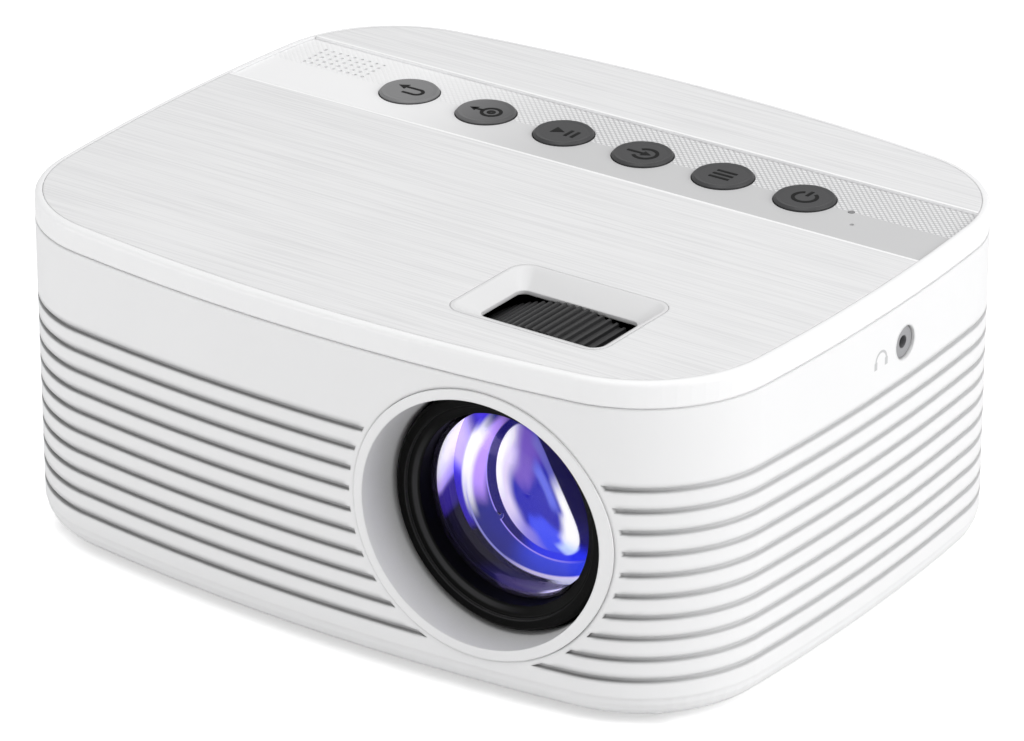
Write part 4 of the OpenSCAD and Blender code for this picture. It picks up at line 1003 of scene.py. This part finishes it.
@dataclass
class SubAssembly:
    """A group of CAD nodes with what is added to them.

    Attributes:
        nodes: Its CAD nodes.
        added: Pieces modelled here.
    """

    nodes: tuple[str, ...]
    added: list[Piece] = field(default_factory=list)

    def build(self) -> None:
        """Models the added pieces. The base has none."""

    def add(self, piece: Piece, body: str, slot: str, finish: Finish) -> None:
        """Finishes a new piece: shading, finish, material slot and the body that carries it.

        Args:
            piece: The new piece.
            body: CAD body that it rides on.
            slot: Material slot of the record; not used.
            finish: Its finish.
        """
        Bench.smooth(piece)
        dress(piece, finish)
        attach(piece, body)
        self.added.append(piece)

    def dress_nodes(self, slots: dict[str, str]) -> None:
        """Gives every CAD node its finish.

        Args:
            slots: Material slot of each node, from the record.
        """
        for name in self.nodes:
            dress(frame["nodes"][name], FINISH_OF_NODE.get(name, FINISH_OF_SLOT[slots[name]]))

    def report(self) -> None:
        """Writes to the log what was dressed and added."""
        log.info("%s: %d CAD nodes, %d added pieces", type(self).__name__, len(self.nodes), len(self.added))


# ---------- the projector's sub-assemblies


@dataclass
class CaseShell(SubAssembly):
    """Outer shell: case, lid, plates, strip and trims.

    Attributes:
        cloth_place: Middle of the dust cloth under the speaker's holes.
        cloth_size: The cloth's size.
    """

    nodes: tuple[str, ...] = (
        "lower_case", "lid", "front_top_plate", "rear_top_plate", "control_strip", "focus_window_trim",
        "lens_collar", "rubber_feet", "case_screws", "tripod_insert", "chassis_plate",
    )
    cloth_place: Point = (-0.094, 0.0497, 0.0984)
    cloth_size: Point = (0.024, 0.014, 0.0001)

    def build(self) -> None:
        """Models the dust cloth between the control strip and the lid."""
        cloth = Bench.block("speaker_cloth", self.cloth_place, self.cloth_size, bevel=0.00002)
        self.add(cloth, BASE_BODY, "strip_grey", CLOTH_GREY)


class Icon(Enum):
    """The generic mark on each key, in the order of the keys."""

    RETURN = 1
    DISC = 2
    PLAY = 3
    SOURCE = 4
    MENU = 5
    POWER = 6


@dataclass
class ControlKeys(SubAssembly):
    """The six keys with their inlaid marks, their board and the status light.

    Attributes:
        first_x: Middle of the leftmost key.
        pitch: From one key to the next.
        row_y: Middle of the row.
        inlay_z: Height of the marks' middle.
        inlay_h: Thickness of the marks.
        stroke: Width of their strokes.
        unit: Unit in which the marks are laid out.
    """

    nodes: tuple[str, ...] = ("key_1", "key_2", "key_3", "key_4", "key_5", "key_6", "key_board", "status_light")
    first_x: float = -0.0653
    pitch: float = 0.02658
    row_y: float = 0.0425
    inlay_z: float = 0.09995
    inlay_h: float = 0.00016
    stroke: float = 0.00105
    unit: float = 0.00115

    def spot(self, key: int, right: float, up: float) -> Point:
        """A point on a key, in units from its middle."""
        x = self.first_x + (key - 1) * self.pitch
        return (x + right * self.unit, self.row_y + up * self.unit, self.inlay_z)

    def bar(self, key: int, right: float, up: float, length: float, turn: float = 0.0) -> Piece:
        """A straight stroke of a mark, with its length in units and its direction in degrees."""
        size = (length * self.unit, self.stroke, self.inlay_h)
        return Bench.block("stroke", self.spot(key, right, up), size, 0.3 * self.inlay_h, math.radians(turn))

    def wedge(self, key: int, right: float, up: float, size: float, turn: float = 0.0) -> Piece:
        """A small triangle, with its corners' radius in units, that points in a direction in degrees."""
        shape = (self.spot(key, right, up), size * self.unit, self.inlay_h, 0.3 * self.inlay_h)
        return Bench.triangle("wedge", *shape, math.radians(turn - 90))

    def bow(self, key: int, right: float, up: float, radius: float, start: float, sweep: float) -> Piece:
        """A round stroke of a mark, with its radius in units, and its start and sweep in degrees."""
        at, angles = self.spot(key, right, up), (math.radians(start), math.radians(sweep))
        return Bench.arc("bow", at, radius * self.unit, (self.stroke, self.inlay_h), *angles)

    def mark(self, icon: Icon) -> list[Piece]:
        """Models the strokes of one mark on its key.

        Args:
            icon: Which mark.

        Returns:
            The strokes.
        """
        key, bar, bow, wedge = icon.value, self.bar, self.bow, self.wedge
        if icon is Icon.RETURN:
            loop = [bar(key, 0.2, 1.5, 4.2), bow(key, 2.2, -0.1, 1.6, -90, 180), bar(key, 0.6, -1.7, 3.4)]
            return [*loop, wedge(key, -2.6, 1.5, 1.7, 180)]
        if icon is Icon.DISC:
            arrow = [bar(key, -2.4, 0, 3.0), wedge(key, -3.4, 0, 1.4, 180)]
            return [*arrow, bow(key, 1.6, 0, 2.4, 0, 360), bow(key, 1.6, 0, 0.7, 0, 360)]
        if icon is Icon.PLAY:
            return [wedge(key, -1.8, 0, 2.1), bar(key, 1.5, 0, 3.8, 90), bar(key, 3.4, 0, 3.8, 90)]
        if icon is Icon.SOURCE:
            return [bow(key, 0.8, 0, 2.9, -140, 280), bar(key, -2.2, 0, 4.4), wedge(key, 0.8, 0, 1.6)]
        if icon is Icon.MENU:
            return [bar(key, 0, step * 1.9, 5.6) for step in (-1, 0, 1)]
        return [bow(key, 0, 0, 2.9, 120, 300), bar(key, 0, 2.2, 3.0, 90)]

    def build(self) -> None:
        """Models the six marks, each on its own key."""
        for icon in Icon:
            piece = Bench.join(f"key_mark_{icon.value}", self.mark(icon))
            self.add(piece, f"key_{icon.value}", "lens_black", ICON_BLACK)


@dataclass
class Lens(SubAssembly):
    """Lens cell, its glasses and the focus ring."""

    nodes: tuple[str, ...] = (
        "lens_barrel", "focus_ring", "ring_retainer", "lens_cell", "lens_spacer", "front_lens", "middle_lens",
        "rear_lens",
    )


@dataclass
class LightPath(SubAssembly):
    """Lamp, light box, panel, mirror and fan."""

    nodes: tuple[str, ...] = (
        "light_box", "light_box_cover", "led_module", "heat_sink", "condenser_lens", "heat_glass",
        "collimating_lens", "picture_panel", "field_lens", "fold_mirror", "fan_frame", "fan_rotor",
    )


@dataclass
class Boards(SubAssembly):
    """Circuit boards, sockets and the loudspeaker."""

    nodes: tuple[str, ...] = (
        "main_board", "rear_sockets", "power_inlet", "power_board", "audio_jack", "audio_board", "speaker",
    )


@dataclass
class DiscDrive(SubAssembly):
    """Slim drive with its sliding tray."""

    nodes: tuple[str, ...] = (
        "drive_case", "disc_tray", "tray_bezel", "tray_rails", "eject_button", "spindle_motor", "disc_hub",
        "sled_rods", "pickup_sled", "pickup_lens", "lead_screw", "sled_motor",
    )


# ---------- the studio


def stand(name: str, data: bpy.types.ID, place: Vector, look: Vector) -> Piece:
    """Puts a lamp or a camera into the scene.

    Args:
        name: The object's name.
        data: The lamp or the camera.
        place: Where it stands.
        look: Direction in which it looks.

    Returns:
        The object.
    """
    holder = bpy.data.objects.new(name, data)
    holder.location = place
    holder.rotation_mode = "QUATERNION"
    holder.rotation_quaternion = look.to_track_quat("-Z", "Y")
    bpy.context.scene.collection.objects.link(holder)
    return holder


@dataclass(frozen=True)
class Softbox:
    """A rectangular lamp at a place, with its side lengths and its power in watts, that looks at a point."""

    name: str
    place: Point
    size: Pair
    power: float
    aim: Point = (0, 0, 0.05)

    def build(self) -> None:
        """Places the lamp."""
        lamp = bpy.data.lights.new(self.name, "AREA")
        lamp.shape = "RECTANGLE"
        lamp.size, lamp.size_y = self.size
        lamp.energy = self.power
        stand(self.name, lamp, Vector(self.place), Vector(self.aim) - Vector(self.place))


@dataclass
class Studio:
    """Camera, lamps, world and floor.

    Attributes:
        azimuth: Direction of the camera from the front.
        elevation: Its height above the horizon.
        distance: From the aimed point.
        aim_z: Height of the point that it looks at.
        shift: How far that point moves to the right and up in the picture.
        focal: Focal length on the sensor, in millimetres.
        sensor: Width of the sensor, in millimetres.
        paper: Range of the floor's grey.
        paper_glow: What the floor adds for the camera alone, so that it looks white.
        ambient: Light of the world on the object; the camera sees it at full strength.
        boxes: The lamps.
    """

    azimuth: float = 0.614
    elevation: float = 0.437
    distance: float = 1.5664
    aim_z: float = 0.0698
    shift: Pair = (0.000165, -0.02158)
    focal: float = 200.6
    sensor: float = 36.0
    paper: Pair = (0.87, 0.89)
    paper_glow: float = 0.5
    ambient: float = 0.55
    boxes: tuple[Softbox, ...] = (
        Softbox("side_right", (1.9, 0.35, 1.0), (1.2, 1.2), 22.0),
        Softbox("front_low", (-1.1, -1.3, 0.14), (1.2, 0.24), 5.8),
        Softbox("top_front", (0.2, -0.8, 2.0), (1.4, 1.0), 9.8),
        Softbox("top_back", (-0.3, 0.7, 2.0), (1.6, 1.2), 8.8),
    )

    def camera(self) -> None:
        """Sets the camera where the photograph was taken from."""
        a, e = self.azimuth, self.elevation
        right = Vector((math.cos(a), math.sin(a), 0))
        back = Vector((math.sin(a) * math.cos(e), -math.cos(a) * math.cos(e), math.sin(e)))
        target = right * self.shift[0] + back.cross(right) * self.shift[1] + Vector((0, 0, self.aim_z))
        data = bpy.data.cameras.new("photo_camera")
        data.lens = self.focal
        data.sensor_width = self.sensor
        data.clip_start, data.clip_end = 0.05, 60.0
        bpy.context.scene.camera = stand("photo_camera", data, target + back * self.distance, -back)

    def world(self) -> None:
        """White for the camera and through glass, a plain light level for all else."""
        world = bpy.data.worlds.new("studio_world")
        bpy.context.scene.world = world
        graph = Graph(world)
        path = graph.add("ShaderNodeLightPath").outputs
        seen = graph.math("MAXIMUM", path["Is Camera Ray"], path["Is Transmission Ray"])
        light = {"Color": (1, 1, 1, 1), "Strength": graph.span(seen, 0.0, 1.0, self.ambient, 1.0)}
        back = graph.add("ShaderNodeBackground", light)
        graph.add("ShaderNodeOutputWorld", {"Surface": back.outputs["Background"]})

    def floor(self) -> None:
        """A wide pale floor that keeps the object's shadow."""
        bpy.ops.mesh.primitive_plane_add(size=14, location=(0, 0, 0))
        piece = bpy.context.active_object
        piece.name = "studio_floor"
        made = bpy.data.materials.new("floor_paper")
        graph = Graph(made)
        seen = graph.add("ShaderNodeLightPath").outputs["Is Camera Ray"]
        tone = graph.span(graph.noise(graph.place, 3.0, 2.0), 0.3, 0.7, *self.paper)
        look = {
            "Base Color": graph.mix(tone, plain(0), plain(1)),
            "Roughness": 0.9,
            "Emission Color": (1, 1, 1, 1),
            "Emission Strength": graph.times(seen, self.paper_glow),
        }
        shader = graph.add("ShaderNodeBsdfPrincipled", look)
        graph.add("ShaderNodeOutputMaterial", {"Surface": shader.outputs["BSDF"]})
        piece.data.materials.append(made)

    def build(self) -> None:
        """Sets up the whole studio."""
        bpy.context.scene.view_settings.view_transform = "Standard"
        self.camera()
        self.world()
        self.floor()
        for box in self.boxes:
            box.build()


def main() -> None:
    """Builds the studio and each sub-assembly in order."""
    logging.basicConfig(level=logging.INFO, format="%(message)s")
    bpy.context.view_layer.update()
    slots = {row["node"]: row["material_slot"] for row in frame["record"]["subparts"]}
    Studio().build()
    for part in (CaseShell(), ControlKeys(), Lens(), LightPath(), Boards(), DiscDrive()):
        part.build()
        part.dress_nodes(slots)
        part.report()


if __name__ == "__main__":
    main()
